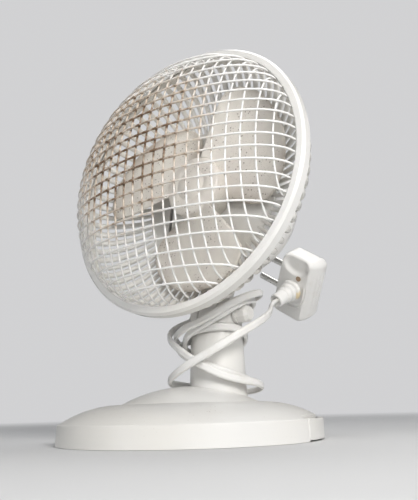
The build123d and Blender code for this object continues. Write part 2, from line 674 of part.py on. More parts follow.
with BuildPart() as housing_rear:
    add(housing_solid.part)
    add(housing_inside.part, mode=Mode.SUBTRACT)
    split(bisect_by=head.offset(parting_z), keep=Keep.BOTTOM)
    # vent slots round the switch
    with BuildSketch(head.offset(housing_back_z - 1)):
        with Locations(*[(x, 0) for x in (-21, -16.5, -12, 12, 16.5, 21)]):
            SlotOverall(2 * sqrt((HOUSING_BACK_RADIUS - 2) ** 2 - 21 ** 2), 2.0, rotation=90)
    extrude(amount=HOUSING_WALL + 2, mode=Mode.SUBTRACT)
    # opening for the switch
    with BuildSketch(head.offset(housing_back_z - 1)):
        Rectangle(*[size - 2 * SWITCH_LIP + 0.2 for size in SWITCH_FRAME])
    extrude(amount=HOUSING_WALL + 2, mode=Mode.SUBTRACT)
save("housing_rear", housing_rear)

# ---------------------------------------------------------------- switch in the back cover
ROCKER_PIVOT_DEPTH = 2.6  # rocker axis in front of the back face, inside the frame
frame_opening = [size + 2 * ROCKER_GAP for size in ROCKER]
frame_sleeve = [size - 2 * SWITCH_LIP for size in SWITCH_FRAME]
rocker_plane = Plane(head.origin + front * (housing_back_z + ROCKER_PIVOT_DEPTH), x_dir=head_up, z_dir=side)

with BuildPart() as switch_frame:
    with BuildSketch(head.offset(housing_back_z)):
        RectangleRounded(*SWITCH_FRAME, 2)
        Rectangle(*frame_opening, mode=Mode.SUBTRACT)
    extrude(amount=-SWITCH_LIP)
    with BuildSketch(head.offset(housing_back_z)):
        Rectangle(*frame_sleeve)
        Rectangle(*frame_opening, mode=Mode.SUBTRACT)
    extrude(amount=8)
    with BuildSketch(head.offset(housing_back_z + 6.5)):
        Rectangle(*frame_sleeve)
    extrude(amount=1.5)
    # holes for the rocker's pins
    with BuildSketch(rocker_plane.offset(-SWITCH_FRAME[0])):
        Circle(ROCKER_PIN_RADIUS + 0.1)
    extrude(amount=2 * SWITCH_FRAME[0], mode=Mode.SUBTRACT)
save("switch_frame", switch_frame)

rocker_pin_reach = frame_sleeve[0] / 2
with BuildPart() as switch_rocker:
    with BuildSketch(rocker_plane.offset(-ROCKER[0] / 2)):
        with BuildLine():
            half = ROCKER[1] / 2 - 2 * ROCKER_GAP
            Polyline((-half, -4.1), (-half, 1.3), (0, 0.1), (half, 1.3), (half, -4.1), (0, -6.6), (-half, -4.1))
        make_face()
        Circle(ROCKER_PIN_RADIUS + 0.8)
    extrude(amount=ROCKER[0])
    with BuildSketch(rocker_plane.offset(-rocker_pin_reach)):
        Circle(ROCKER_PIN_RADIUS)
    extrude(amount=2 * rocker_pin_reach)
save("switch_rocker", switch_rocker)

# ---------------------------------------------------------------- motor
core_front_z = -GUARD_DEPTH - MOTOR_SETBACK
core_mid_z = core_front_z - CORE_STACK / 2
window_height = 13.0
limb = 9.0
core_bottom = -(CORE_HEIGHT - CORE_WIDTH / 2)
stator_screws = [(x, y) for x in (-STATOR_SCREW_X, STATOR_SCREW_X)
                 for y in (STATOR_SCREW_TOP, STATOR_SCREW_BOTTOM)]

with BuildPart() as stator_core:
    with BuildSketch(head.offset(core_front_z)):
        with Locations((0, (CORE_WIDTH / 2 + core_bottom) / 2)):
            Rectangle(CORE_WIDTH, CORE_HEIGHT)
        Circle(ROTOR_RADIUS + AIR_GAP, mode=Mode.SUBTRACT)
        with Locations((0, core_bottom + limb + window_height / 2 - 1)):
            Rectangle(CORE_WIDTH - 2 * limb, window_height - 2, mode=Mode.SUBTRACT)
        with Locations(*stator_screws):
            Circle(SCREW_HOLE_RADIUS, mode=Mode.SUBTRACT)
    extrude(amount=-CORE_STACK)
save("stator_core", stator_core)

with BuildPart() as motor_coil:
    limb_middle = core_bottom + limb / 2
    with BuildSketch(Plane(head.origin + side * (-COIL_LENGTH / 2) + front * core_mid_z,
                           x_dir=head_up, z_dir=side)):
        with Locations((limb_middle, 0)):
            RectangleRounded(limb + 2 * COIL_BUILD, CORE_STACK + 2 * COIL_BUILD, 4)
            Rectangle(limb + 0.6, CORE_STACK + 0.6, mode=Mode.SUBTRACT)
    extrude(amount=COIL_LENGTH)
save("motor_coil", motor_coil)


def bracket(face_z, outward):
    """Strip with a round bearing seat in the middle, screwed to the stator."""
    with BuildPart() as strip:
        with BuildSketch(head.offset(face_z)):
            RectangleRounded(2 * (PILLAR_X + SCREW_HEAD_RADIUS), BRACKET_HEIGHT, 4)
            with Locations((0, (STATOR_SCREW_TOP + STATOR_SCREW_BOTTOM) / 2)):
                Rectangle(2 * (STATOR_SCREW_X + SCREW_HEAD_RADIUS),
                          STATOR_SCREW_TOP - STATOR_SCREW_BOTTOM + 2 * SCREW_HEAD_RADIUS)
            Circle(BEARING_RADIUS - 1.5, mode=Mode.SUBTRACT)
            with Locations((-PILLAR_X, 0), (PILLAR_X, 0), *stator_screws):
                Circle(SCREW_HOLE_RADIUS, mode=Mode.SUBTRACT)
        extrude(amount=outward * BRACKET_THICKNESS)
        with BuildSketch(head.offset(face_z + outward * BRACKET_THICKNESS)):
            Circle(BEARING_RADIUS + 1.4)
            Circle(BEARING_RADIUS + 0.02, mode=Mode.SUBTRACT)
        extrude(amount=outward * BEARING_WIDTH)
    return strip


bracket_front = bracket(core_front_z, 1)
save("bracket_front", bracket_front)
bracket_rear = bracket(core_front_z - CORE_STACK, -1)
save("bracket_rear", bracket_rear)

bearing_front_z = core_front_z + BRACKET_THICKNESS
bearing_rear_z = core_front_z - CORE_STACK - BRACKET_THICKNESS
with BuildPart() as bearings:
    for start, direction in ((bearing_front_z, 1), (bearing_rear_z, -1)):
        with BuildSketch(head.offset(start)):
            Circle(BEARING_RADIUS)
            Circle(SHAFT_DIAMETER / 2 + 0.05, mode=Mode.SUBTRACT)
        extrude(amount=direction * BEARING_WIDTH)
save("bearings", bearings)

with BuildPart() as motor_screws:
    for x, y in stator_screws:
        with BuildSketch(head.offset(bearing_rear_z - SCREW_HEAD)):
            with Locations((x, y)):
                Circle(SCREW_HEAD_RADIUS)
        extrude(amount=SCREW_HEAD)
        with BuildSketch(head.offset(bearing_rear_z)):
            with Locations((x, y)):
                Circle(SCREW_RADIUS)
        extrude(amount=CORE_STACK + 2 * BRACKET_THICKNESS + 1)
save("motor_screws", motor_screws)

with BuildPart() as pillar_screws:
    for x in (-PILLAR_X, PILLAR_X):
        with BuildSketch(head.offset(core_front_z - SCREW_HEAD)):
            with Locations((x, 0)):
                Circle(SCREW_HEAD_RADIUS)
        extrude(amount=SCREW_HEAD)
        with BuildSketch(head.offset(core_front_z)):
            with Locations((x, 0)):
                Circle(SCREW_RADIUS)
        extrude(amount=BRACKET_THICKNESS)
save("pillar_screws", pillar_screws)

with BuildPart() as rotor_core:
    with BuildSketch(head.offset(core_front_z - 0.5)):
        Circle(ROTOR_RADIUS)
        Circle(SHAFT_DIAMETER / 2, mode=Mode.SUBTRACT)
    extrude(amount=-CORE_STACK + 1)
save("rotor_core", rotor_core)

hub_front_z = -GUARD_DEPTH + BLADE_GAP + HUB_DEPTH
with BuildPart() as motor_shaft:
    with BuildSketch(head.offset(bearing_rear_z - BEARING_WIDTH - 1.5)):
        Circle(SHAFT_DIAMETER / 2)
    extrude(amount=hub_front_z - 3 - (bearing_rear_z - BEARING_WIDTH - 1.5))
    chamfer(motor_shaft.edges().filter_by(GeomType.CIRCLE), 0.4)
save("motor_shaft", motor_shaft)

# ---------------------------------------------------------------- fan blades
hub_back_z = -GUARD_DEPTH + BLADE_GAP
# outline of one blade: reach of the edge at five angles round the hub, as shares of the tip radius
BLADE_REACH = (0.66, 0.93, 1.0, 0.97, 0.76)


def blade_station(start_angle, share, reach):
    """Slanted slice of a blade in a plane through the axis."""
    angle = start_angle + BLADE_SPAN_ANGLE * (share - 0.5)
    direction = side * cos(radians(angle)) + head_up * sin(radians(angle))
    across = front.cross(direction)
    slice_plane = Plane(head.origin, x_dir=direction, z_dir=-across)
    bottom = hub_back_z + 0.8 + BLADE_PITCH_RISE * share * (1.15 - 0.15 * share) * 0.86
    tip = reach * BLADE_TIP_RADIUS
    sweep_back = 1.5 * (tip - HUB_RADIUS) / BLADE_TIP_RADIUS
    with BuildSketch(slice_plane) as station:
        with BuildLine():
            Polyline((HUB_RADIUS - 1.2, bottom), (tip, bottom + sweep_back),
                     (tip, bottom + sweep_back + BLADE_THICKNESS * 0.7),
                     (HUB_RADIUS - 1.2, bottom + BLADE_THICKNESS), (HUB_RADIUS - 1.2, bottom))
        make_face()
    return station.sketch


blade_parts = []
for blade in range(BLADE_COUNT):
    with BuildPart() as one_blade:
        for step, reach in reversed(list(enumerate(BLADE_REACH))):
            add(blade_station(BLADE_REST_ANGLE + blade * 360 / BLADE_COUNT, step / (len(BLADE_REACH) - 1), reach))
        loft()
    blade_parts.append(one_blade.part)

with BuildPart() as fan_hub:
    with BuildSketch(profile):
        with BuildLine():
            nose = (0, hub_front_z)
            Polyline((SHAFT_DIAMETER / 2, hub_back_z + 2), (5.5, hub_back_z + 2), (5.5, hub_front_z - 3),
                     (HUB_RADIUS - HUB_WALL - 3, hub_front_z - 4), (HUB_RADIUS - HUB_WALL, hub_front_z - 7),
                     (HUB_RADIUS - HUB_WALL, hub_back_z), (HUB_RADIUS, hub_back_z), (HUB_RADIUS, hub_front_z - 6))
            ThreePointArc((HUB_RADIUS, hub_front_z - 6), (HUB_RADIUS * 0.72, hub_front_z - 1.8), nose)
            Polyline(nose, (0, hub_front_z - 3), (SHAFT_DIAMETER / 2, hub_front_z - 3),
                     (SHAFT_DIAMETER / 2, hub_back_z + 2))
        make_face()
    revolve(axis=head_axis)

with BuildPart() as fan_blades:
    add(fan_hub.part)
    add(blade_parts)
save("fan_blades", fan_blades)

# ---------------------------------------------------------------- cord
# Turns of the cord round the neck, from the gland to the plug: angle round the neck axis
# (0 is +X, rising anticlockwise seen from above), distance from the axis, height.
CORD_TURNS = (
    (-165, 20.9, 60.8), (-135, 20.3, 61.4), (-105, 19.9, 62.8), (-75, 19.6, 65.2),
    (-45, 19.4, 67.2), (-15, 19.5, 68.4), (15, 19.5, 68.8), (45, 19.4, 67.8),
    (75, 19.6, 65.2), (105, 19.6, 61.8), (135, 19.6, 57.8), (165, 20.0, 54.0),
    (195, 20.0, 52.0), (225, 20.0, 52.2), (253, 20.2, 54.6), (279, 21.4, 58.6),
    (303, 23.5, 63.2), (328, 23.8, 67.6), (355, 23.0, 73.2), (384, 24.0, 80.0),
    (411, 25.4, 85.8), (437, 26.0, 87.0), (463, 25.6, 85.0), (490, 25.2, 80.6),
    (520, 24.8, 75.4), (550, 24.6, 70.2), (580, 24.5, 65.4), (608, 24.4, 60.8),
    (632, 25.3, 56.2), (656, 23.7, 51.8), (682, 21.5, 47.6), (710, 20.8, 43.6),
    (740, 20.6, 40.2), (770, 20.7, 37.4), (800, 21.0, 35.4), (830, 22.2, 35.4),
    (858, 24.4, 38.2), (884, 26.6, 43.0), (908, 28.4, 48.6), (932, 29.6, 54.6),
    (955, 29.7, 60.0), (980, 28.1, 63.8), (1006, 26.4, 66.0), (1032, 27.9, 67.8),
    (1056, 27.9, 70.8), (1080, 26.8, 76.6), (1104, 27.6, 83.4), (1128, 29.8, 88.2),
    (1152, 30.7, 91.2), (1176, 30.6, 92.0), (1201, 29.4, 90.6), (1228, 28.8, 87.6),
    (1256, 29.2, 84.0), (1284, 30.2, 80.0), (1308, 31.6, 75.2), (1331, 32.2, 69.8),
    (1354, 31.5, 63.4), (1377, 28.4, 56.4), (1400, 25.9, 49.4), (1424, 24.9, 43.0),
    (1450, 23.8, 38.2), (1477, 23.8, 35.8), (1502, 26.0, 34.6), (1524, 28.4, 32.6),
    (1546, 28.8, 30.8), (1570, 27.2, 29.4), (1597, 26.2, 29.8), (1625, 27.0, 31.4),
    (1651, 28.8, 33.2), (1675, 30.4, 34.6), (1699, 31.4, 35.4), (1723, 31.6, 37.4),
    (1746, 31.0, 41.4), (1769, 30.2, 46.8), (1792, 29.8, 52.6), (1812, 30.6, 58.8),
)
GLAND_START = (-21.5, NECK_Y + 1.0, 60.6)
CORD_LEAD = ((26.6, 37.0, 66.0), (17.0, 47.0, 72.4), (3.4, 53.6, 79.0))

# plug: its own axes, with the cord entering along plug_axis
plug_axis = Vector(-0.66, 0.78, 0.59).normalized()
plug_lean = Vector(-0.732, -0.111, -0.672)
plug_across = (plug_lean - plug_axis * plug_lean.dot(plug_axis)).normalized()
collar_tip = Vector(-25.0, 60.5, 91.0)
plug_entry = collar_tip + plug_axis * COLLAR_LENGTH
cord_end = collar_tip + plug_axis * 2.0


def turn_point(angle, radius, height):
    return Vector(radius * cos(radians(angle)), NECK_Y + radius * sin(radians(angle)), height)


cord_points = [Vector(*GLAND_START)]
cord_points += [turn_point(*turn) for turn in CORD_TURNS]
cord_points += [Vector(*point) for point in CORD_LEAD]
cord_points += [collar_tip - plug_axis * 6.0, cord_end]


def corner_radii(points):
    """0.45 of the shorter run, divided by the tangent of half the turn, at each inner point."""
    radii = []
    for before, here, after in zip(points, points[1:], points[2:]):
        run_in = here - before
        run_out = after - here
        half_turn = radians(run_in.get_angle(run_out)) / 2
        radii.append(0.45 * min(run_in.length, run_out.length) / tan(half_turn))
    return radii


cord_radii = corner_radii(cord_points)
print("cord corner radii", " ".join(f"{radius:.0f}" for radius in cord_radii))

with BuildPart() as power_cord:
    with BuildLine() as cord_path:
        FilletPolyline(*cord_points, radius=cord_radii)
    cord_wire = cord_path.wires()[0]
    with BuildSketch(Plane(cord_points[0], z_dir=cord_wire % 0)):
        RegularPolygon(CORD_CORNER_RADIUS, 6)
    sweep(path=cord_wire)
save("power_cord", power_cord)

cord_length = cord_wire.length
section_area = 1.5 * sqrt(3) * CORD_CORNER_RADIUS ** 2
print(f"cord length {cord_length:.0f} mm, volume {power_cord.part.volume:.0f},",
      f"section times length {section_area * cord_length:.0f}")
samples = [cord_wire @ (step / 900) for step in range(901)]
apart = int(4 * CORD_DIAMETER / (cord_length / 900))
least_gap = min(
    (samples[i] - samples[j]).length - CORD_DIAMETER
    for i in range(0, 901)
    for j in range(i + apart, 901)
)
print(f"cord least gap to itself {least_gap:.2f} mm")

with BuildPart() as cord_gland:
    start = cord_points[0]
    along = cord_wire % 0
    gland_plane = Plane(start, z_dir=-along, x_dir=(0, 0, 1))
    with BuildSketch(gland_plane.offset(-CORD_DIAMETER)):
        Circle(CORD_DIAMETER / 2 + 1.4)
        Circle(CORD_DIAMETER / 2 * CORD_FIT, mode=Mode.SUBTRACT)
    extrude(amount=CORD_DIAMETER)
    with BuildSketch(gland_plane):
        Circle(CORD_DIAMETER / 2 + 1.9)
    extrude(amount=6)
save("cord_gland", cord_gland)

# ---------------------------------------------------------------- plug
plug = Plane(plug_entry, x_dir=plug_across, z_dir=plug_axis)        # z runs into the body
with BuildPart() as plug_collar:
    with BuildSketch(plug.offset(-COLLAR_LENGTH)):
        Circle(COLLAR_RADIUS)
    extrude(amount=COLLAR_LENGTH)
    for step in range(COLLAR_RINGS):
        with BuildSketch(plug.offset(-COLLAR_RING_PITCH * (COLLAR_RINGS - step))):
            Circle(COLLAR_RADIUS + COLLAR_RING_STEP * (step + 1))
        extrude(amount=COLLAR_RING_WIDTH)
    with BuildSketch(plug.offset(-COLLAR_LENGTH)):
        Circle(CORD_DIAMETER / 2 * CORD_FIT)
    extrude(amount=2.2, mode=Mode.SUBTRACT)
save("plug_collar", plug_collar)

with BuildPart() as plug_body:
    with BuildSketch(plug):
        RectangleRounded(PLUG_WIDTH - 6, PLUG_DEPTH - 3, 5)
    with BuildSketch(plug.offset(PLUG_SHOULDER)):
        RectangleRounded(PLUG_WIDTH, PLUG_DEPTH, 6)
    with BuildSketch(plug.offset(PLUG_HEIGHT - PLUG_SHOULDER)):
        RectangleRounded(PLUG_WIDTH - 2, PLUG_DEPTH, 6)
    with BuildSketch(plug.offset(PLUG_HEIGHT)):
        RectangleRounded(PLUG_WIDTH - 10, PLUG_DEPTH - 6, 5)
    loft(ruled=True)
    # thumb scoop in the face that the cord enters
    with BuildSketch(plug.offset(SCOOP_DEPTH)):
        with Locations((-SCOOP_OFFSET, 0)):
            Ellipse(SCOOP_LENGTH / 2, SCOOP_WIDTH / 2)
    extrude(amount=-2 * SCOOP_DEPTH, mode=Mode.SUBTRACT)
save("plug_body", plug_body)

with BuildPart() as plug_screw:
    with BuildSketch(plug):
        with Locations((-PLUG_SCREW_OFFSET, -PLUG_SCREW_SHIFT)):
            Circle(PLUG_SCREW_RADIUS)
    extrude(amount=-PLUG_SCREW_HEAD)
save("plug_screw", plug_screw)

# the pins stand on the flank that is turned to the fan
pin_plane = Plane(plug_entry + plug_axis * (PLUG_HEIGHT / 2) + plug.y_dir * (PLUG_DEPTH / 2),
                  x_dir=plug_across, z_dir=plug.y_dir)
with BuildPart() as plug_pins:
    with BuildSketch(pin_plane):
        with Locations((-PIN_PITCH / 2, 0), (PIN_PITCH / 2, 0)):
            Circle(PIN_RADIUS)
    extrude(amount=PLUG_PIN_LENGTH)
    chamfer(plug_pins.faces().sort_by(Axis(pin_plane.origin, pin_plane.z_dir))[-2:].edges(), PIN_RADIUS / 3)
save("plug_pins", plug_pins)
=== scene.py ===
"""Clip fan with a domed base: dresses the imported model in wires, ribs, blades, cord and plug.

Shapes are worked out in millimetres, and make_piece turns them into metres. The stage and the
settings in the sidebar are in metres.
"""

from math import cos, pi, radians, sin, sqrt

import bmesh
import bpy
import numpy as np
from bpy.props import FloatProperty, FloatVectorProperty, IntProperty, PointerProperty
from mathutils import Matrix


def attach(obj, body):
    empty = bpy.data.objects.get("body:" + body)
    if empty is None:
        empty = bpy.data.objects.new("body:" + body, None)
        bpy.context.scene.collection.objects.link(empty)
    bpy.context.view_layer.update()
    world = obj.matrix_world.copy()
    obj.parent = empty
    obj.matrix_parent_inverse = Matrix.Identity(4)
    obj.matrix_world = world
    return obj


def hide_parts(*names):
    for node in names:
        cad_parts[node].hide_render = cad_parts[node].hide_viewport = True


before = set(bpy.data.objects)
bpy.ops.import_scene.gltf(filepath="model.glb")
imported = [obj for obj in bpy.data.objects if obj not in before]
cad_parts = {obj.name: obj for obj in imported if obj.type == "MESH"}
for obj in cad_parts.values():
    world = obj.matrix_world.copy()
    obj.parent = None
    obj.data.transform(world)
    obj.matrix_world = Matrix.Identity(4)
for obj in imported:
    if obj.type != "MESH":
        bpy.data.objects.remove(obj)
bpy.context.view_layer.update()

bl_info = {
    "name": "Clip Fan",
    "version": (1, 0, 0),
    "blender": (4, 5, 0),
    "location": "View3D > Sidebar > Clip Fan",
    "description": "Adds the finished pieces and surfaces of a small clip fan",
    "category": "Add Mesh",
}

MM = 0.001

# ---------------------------------------------------------------- frames of the fan
# The head, seen from where its air goes: side points right, head_up up and front at the eye.
SWIVEL = radians(54.0)
TILT = radians(7.5)
NECK_Y = 18.0
PIVOT_HEIGHT = 77.0
RING_AHEAD = 50.0
RING_ABOVE = 82.0
side = np.array([cos(SWIVEL), sin(SWIVEL), 0.0])
level_front = np.array([sin(SWIVEL), -cos(SWIVEL), 0.0])
front = level_front * cos(TILT) + np.array([0.0, 0.0, sin(TILT)])
head_up = np.cross(front, side)
pivot = np.array([0.0, NECK_Y, PIVOT_HEIGHT])
ring_centre = pivot + front * RING_AHEAD + head_up * RING_ABOVE

# The plug: its axis runs on from the cord, across is the long way of its face.
COLLAR_LENGTH = 21.0
plug_axis = np.array([-0.66, 0.78, 0.59])
plug_axis = plug_axis / np.linalg.norm(plug_axis)
plug_across = np.array([-0.732, -0.111, -0.672])
plug_across = plug_across - plug_axis * plug_across.dot(plug_axis)
plug_across = plug_across / np.linalg.norm(plug_across)
plug_depth = np.cross(plug_axis, plug_across)
collar_tip = np.array([-25.0, 60.5, 91.0])
plug_entry = collar_tip + plug_axis * COLLAR_LENGTH

# Turns of the cord round the neck: angle about the neck's axis, distance from it, height.
CORD_TURNS = (
    (-165, 20.9, 60.8), (-135, 20.3, 61.4), (-105, 19.9, 62.8), (-75, 19.6, 65.2),
    (-45, 19.4, 67.2), (-15, 19.5, 68.4), (15, 19.5, 68.8), (45, 19.4, 67.8),
    (75, 19.6, 65.2), (105, 19.6, 61.8), (135, 19.6, 57.8), (165, 20.0, 54.0),
    (195, 20.0, 52.0), (225, 20.0, 52.2), (253, 20.2, 54.6), (279, 21.4, 58.6),
    (303, 23.5, 63.2), (328, 23.8, 67.6), (355, 23.0, 73.2), (384, 24.0, 80.0),
    (411, 25.4, 85.8), (437, 26.0, 87.0), (463, 25.6, 85.0), (490, 25.2, 80.6),
    (520, 24.8, 75.4), (550, 24.6, 70.2), (580, 24.5, 65.4), (608, 24.4, 60.8),
    (632, 25.3, 56.2), (656, 23.7, 51.8), (682, 21.5, 47.6), (710, 20.8, 43.6),
    (740, 20.6, 40.2), (770, 20.7, 37.4), (800, 21.0, 35.4), (830, 22.2, 35.4),
    (858, 24.4, 38.2), (884, 26.6, 43.0), (908, 28.4, 48.6), (932, 29.6, 54.6),
    (955, 29.7, 60.0), (980, 28.1, 63.8), (1006, 26.4, 66.0), (1032, 27.9, 67.8),
    (1056, 27.9, 70.8), (1080, 26.8, 76.6), (1104, 27.6, 83.4), (1128, 29.8, 88.2),
    (1152, 30.7, 91.2), (1176, 30.6, 92.0), (1201, 29.4, 90.6), (1228, 28.8, 87.6),
    (1256, 29.2, 84.0), (1284, 30.2, 80.0), (1308, 31.6, 75.2), (1331, 32.2, 69.8),
    (1354, 31.5, 63.4), (1377, 28.4, 56.4), (1400, 25.9, 49.4), (1424, 24.9, 43.0),
    (1450, 23.8, 38.2), (1477, 23.8, 35.8), (1502, 26.0, 34.6), (1524, 28.4, 32.6),
    (1546, 28.8, 30.8), (1570, 27.2, 29.4), (1597, 26.2, 29.8), (1625, 27.0, 31.4),
    (1651, 28.8, 33.2), (1675, 30.4, 34.6), (1699, 31.4, 35.4), (1723, 31.6, 37.4),
    (1746, 31.0, 41.4), (1769, 30.2, 46.8), (1792, 29.8, 52.6), (1812, 30.6, 58.8),
)
GLAND_START = (-21.5, NECK_Y + 1.0, 60.6)
CORD_LEAD = ((26.6, 37.0, 66.0), (17.0, 47.0, 72.4), (3.4, 53.6, 79.0))

# Camera of the photograph: low beside the fan, looking up.
CAMERA_PLACE = (0.398, 0.0145, 0.0194)
CAMERA_PITCH = radians(14.6)
CAMERA_ROLL = radians(1.6)
PHOTO_WIDTH = 418.0
FOCAL_PIXELS = 607.5
SENSOR_WIDTH = 36.0

# Floor and backdrop: two tones of the paper, how it shows far away, the world seen and as light.
PAPER = (0.70, 0.70, 0.70)
PAPER_CLOUD = (0.67, 0.67, 0.68)
PAPER_FAR = (0.64, 0.64, 0.65)
FAR_FROM, FAR_TO = 0.4, 1.2
WORLD_SEEN = (0.74, 0.74, 0.75)
WORLD_LIGHT = (0.95, 0.97, 1.0)
WORLD_LEVEL = 0.24

# Soft daylight from above and the right: name, place, aim, size, power, colour.
LAMPS = (
    ("key", (0.80, 0.34, 0.46), (0, 0, 0.13), 0.40, 7.0, (1.0, 0.99, 0.97)),
    ("fill", (0.7, -0.9, 0.5), (0, 0, 0.12), 0.9, 2.3, (0.96, 0.98, 1.0)),
    ("top", (-0.3, 0.2, 1.3), (0.0, 0, 0.1), 0.8, 4.2, (1.0, 1.0, 1.0)),
)

# Colours of dirt and wear. The ribs' yellowing colour is also darker and pinker as painted shade.
SMEAR_GREY = (0.55, 0.50, 0.44)
SPECK_BROWN = (0.30, 0.24, 0.18)
WIRE_DUST = (0.56, 0.43, 0.30)
BLADE_CLOUD = (0.72, 0.66, 0.62)
BLADE_DUST = (0.44, 0.38, 0.31)
BLADE_SPECK = (0.17, 0.12, 0.08)
CORD_DIRT = (0.66, 0.62, 0.56)
PLUG_DIRT = (0.66, 0.62, 0.55)
PLUG_YELLOW = (0.80, 0.64, 0.36)
RIB_YELLOWING_AND_SHADE = (0.72, 0.66, 0.58)
SHELL_YELLOW = (0.79, 0.765, 0.71)
RING_YELLOW = (0.79, 0.76, 0.70)


# ---------------------------------------------------------------- surfaces
def grid_faces(rows, columns, wrap=True):
    """Quads of a grid of rows by columns, joined round in the columns when wrap is set."""
    row = np.arange(rows - 1)[:, None]
    column = np.arange(columns if wrap else columns - 1)[None, :]
    here = row * columns + column
    beside = row * columns + (column + 1) % columns
    return np.stack([here, beside, beside + columns, here + columns], axis=-1).reshape(-1, 4)


def capped_faces(rows, columns):
    """Faces of a grid joined round in its columns, with one face over each end."""
    last = (rows - 1) * columns
    ends = [list(range(columns))[::-1], list(range(last, last + columns))]
    return [list(face) for face in grid_faces(rows, columns)] + ends


def mesh_of(curve):
    """Mesh of a curve, which is removed."""
    holder = bpy.data.objects.new(curve.name, curve)
    mesh = bpy.data.meshes.new_from_object(holder)
    bpy.data.objects.remove(holder)
    bpy.data.curves.remove(curve)
    return mesh


def make_piece(name, points, faces, body, material):
    """Puts points in millimetres and faces into a smooth mesh that rides on a body."""
    mesh = bpy.data.meshes.new(name)
    mesh.from_pydata((np.asarray(points) * MM).tolist(), [], [list(face) for face in faces])
    mesh.polygons.foreach_set("use_smooth", [True] * len(mesh.polygons))
    mesh.materials.append(material)
    mesh.update()
    piece = bpy.data.objects.new(name, mesh)
    bpy.context.scene.collection.objects.link(piece)
    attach(piece, body)
    return piece


def give_attribute(piece, name, values):
    """Stores one number for each vertex of the piece."""
    data = piece.data.attributes.new(name, "FLOAT", "POINT")
    data.data.foreach_set("value", np.ascontiguousarray(values, dtype=np.float32))


def tube(path, normal, across, thick, sides, groove=0.0, swell=1.0):
    """Points of a closed tube: path + cos t * across * e1 + sin t * thick * e2, where e2 is the
    part of normal square to the path and e1 is square to both. A groove thins it along its middle
    line, and swell, one number for each point of the path, makes it thicker."""
    along = np.gradient(path, axis=0)
    along /= np.linalg.norm(along, axis=1, keepdims=True)
    out = normal - along * np.sum(normal * along, axis=1, keepdims=True)
    out /= np.linalg.norm(out, axis=1, keepdims=True)
    wide = np.cross(along, out)
    t = np.linspace(0, 2 * pi, sides, endpoint=False)
    x = np.cos(t)
    y = np.sin(t) * (1 - groove * np.exp(-((x / 0.22) ** 2)))
    ring = x[None, :, None] * across * wide[:, None] + y[None, :, None] * thick * out[:, None]
    swell = np.broadcast_to(swell, len(path))
    points = path[:, None] + ring * swell[:, None, None]
    return points.reshape(-1, 3), capped_faces(len(path), sides)


def turned(profile, origin, axis, start, columns):
    """Surface of revolution: origin + radius * (cos a * start + sin a * (axis x start))
    + height * axis, for each (radius, height) of the profile and each angle a."""
    profile = np.asarray(profile, float)
    a = np.linspace(0, 2 * pi, columns, endpoint=False)
    ring = np.cos(a)[:, None] * start + np.sin(a)[:, None] * np.cross(axis, start)
    points = origin + profile[:, None, :1] * ring[None] + profile[:, None, 1:] * axis
    return points.reshape(-1, 3), grid_faces(len(profile), columns)


def circle(radius, steps):
    """Flat outline: radius * (cos a, sin a)."""
    a = np.linspace(0, 2 * pi, steps + 1)[:-1]
    return radius * np.stack([np.cos(a), np.sin(a)], 1)


def hill(at, middle, half, power):
    """Hill with a top of 1, flatter for a higher power: exp(-((at - middle) / half)^power)."""
    return np.exp(-(((at - middle) / half) ** power))


def join(parts):
    """Several (points, faces) sets as one."""
    points = []
    faces = []
    total = 0
    for part_points, part_faces in parts:
        points.append(part_points)
        faces += [[int(index) + total for index in face] for face in part_faces]
        total += len(part_points)
    return np.concatenate(points), faces


# ---------------------------------------------------------------- shader expressions
class Value:
    """A socket of a node tree. Arithmetic on it adds Math nodes."""

    def __init__(self, nodes, socket):
        self.nodes = nodes
        self.socket = socket

    def math(self, operation, first, second):
        return self.nodes.node("ShaderNodeMath", {"operation": operation}, first, second)

    def __add__(self, other):
        return self.math("ADD", self, other)

    __radd__ = __add__

    def __mul__(self, other):
        return self.math("MULTIPLY", self, other)

    __rmul__ = __mul__

    def __sub__(self, other):
        return self.math("SUBTRACT", self, other)

    def __rsub__(self, other):
        return self.math("SUBTRACT", other, self)

    def step(self, low, high):
        """Smooth rise from 0 at low to 1 at high."""
        settings = {"interpolation_type": "SMOOTHSTEP"}
        return self.nodes.node("ShaderNodeMapRange", settings, self, low, high, 0.0, 1.0)


class Nodes:
    """A node tree, emptied and then built from expressions."""

    def __init__(self, tree):
        self.tree = tree
        tree.nodes.clear()

    def feed(self, socket, value):
        """Links an expression to a socket, or sets the socket to a constant."""
        if isinstance(value, Value):
            self.tree.links.new(value.socket, socket)
        else:
            socket.default_value = value

    def node(self, kind, settings, *values, result=0, **named):
        """Adds a node: its settings first, then its sockets by name or in order, where None
        leaves one as it is. The result is the output with that number or name."""
        node = self.tree.nodes.new(kind)
        for key, value in settings.items():
            setattr(node, key, value)
        for index, value in enumerate(values):
            if value is not None:
                self.feed(node.inputs[index], value)
        for key, value in named.items():
            self.feed(node.inputs[key.replace("_", " ")], value)
        return Value(self, node.outputs[result])


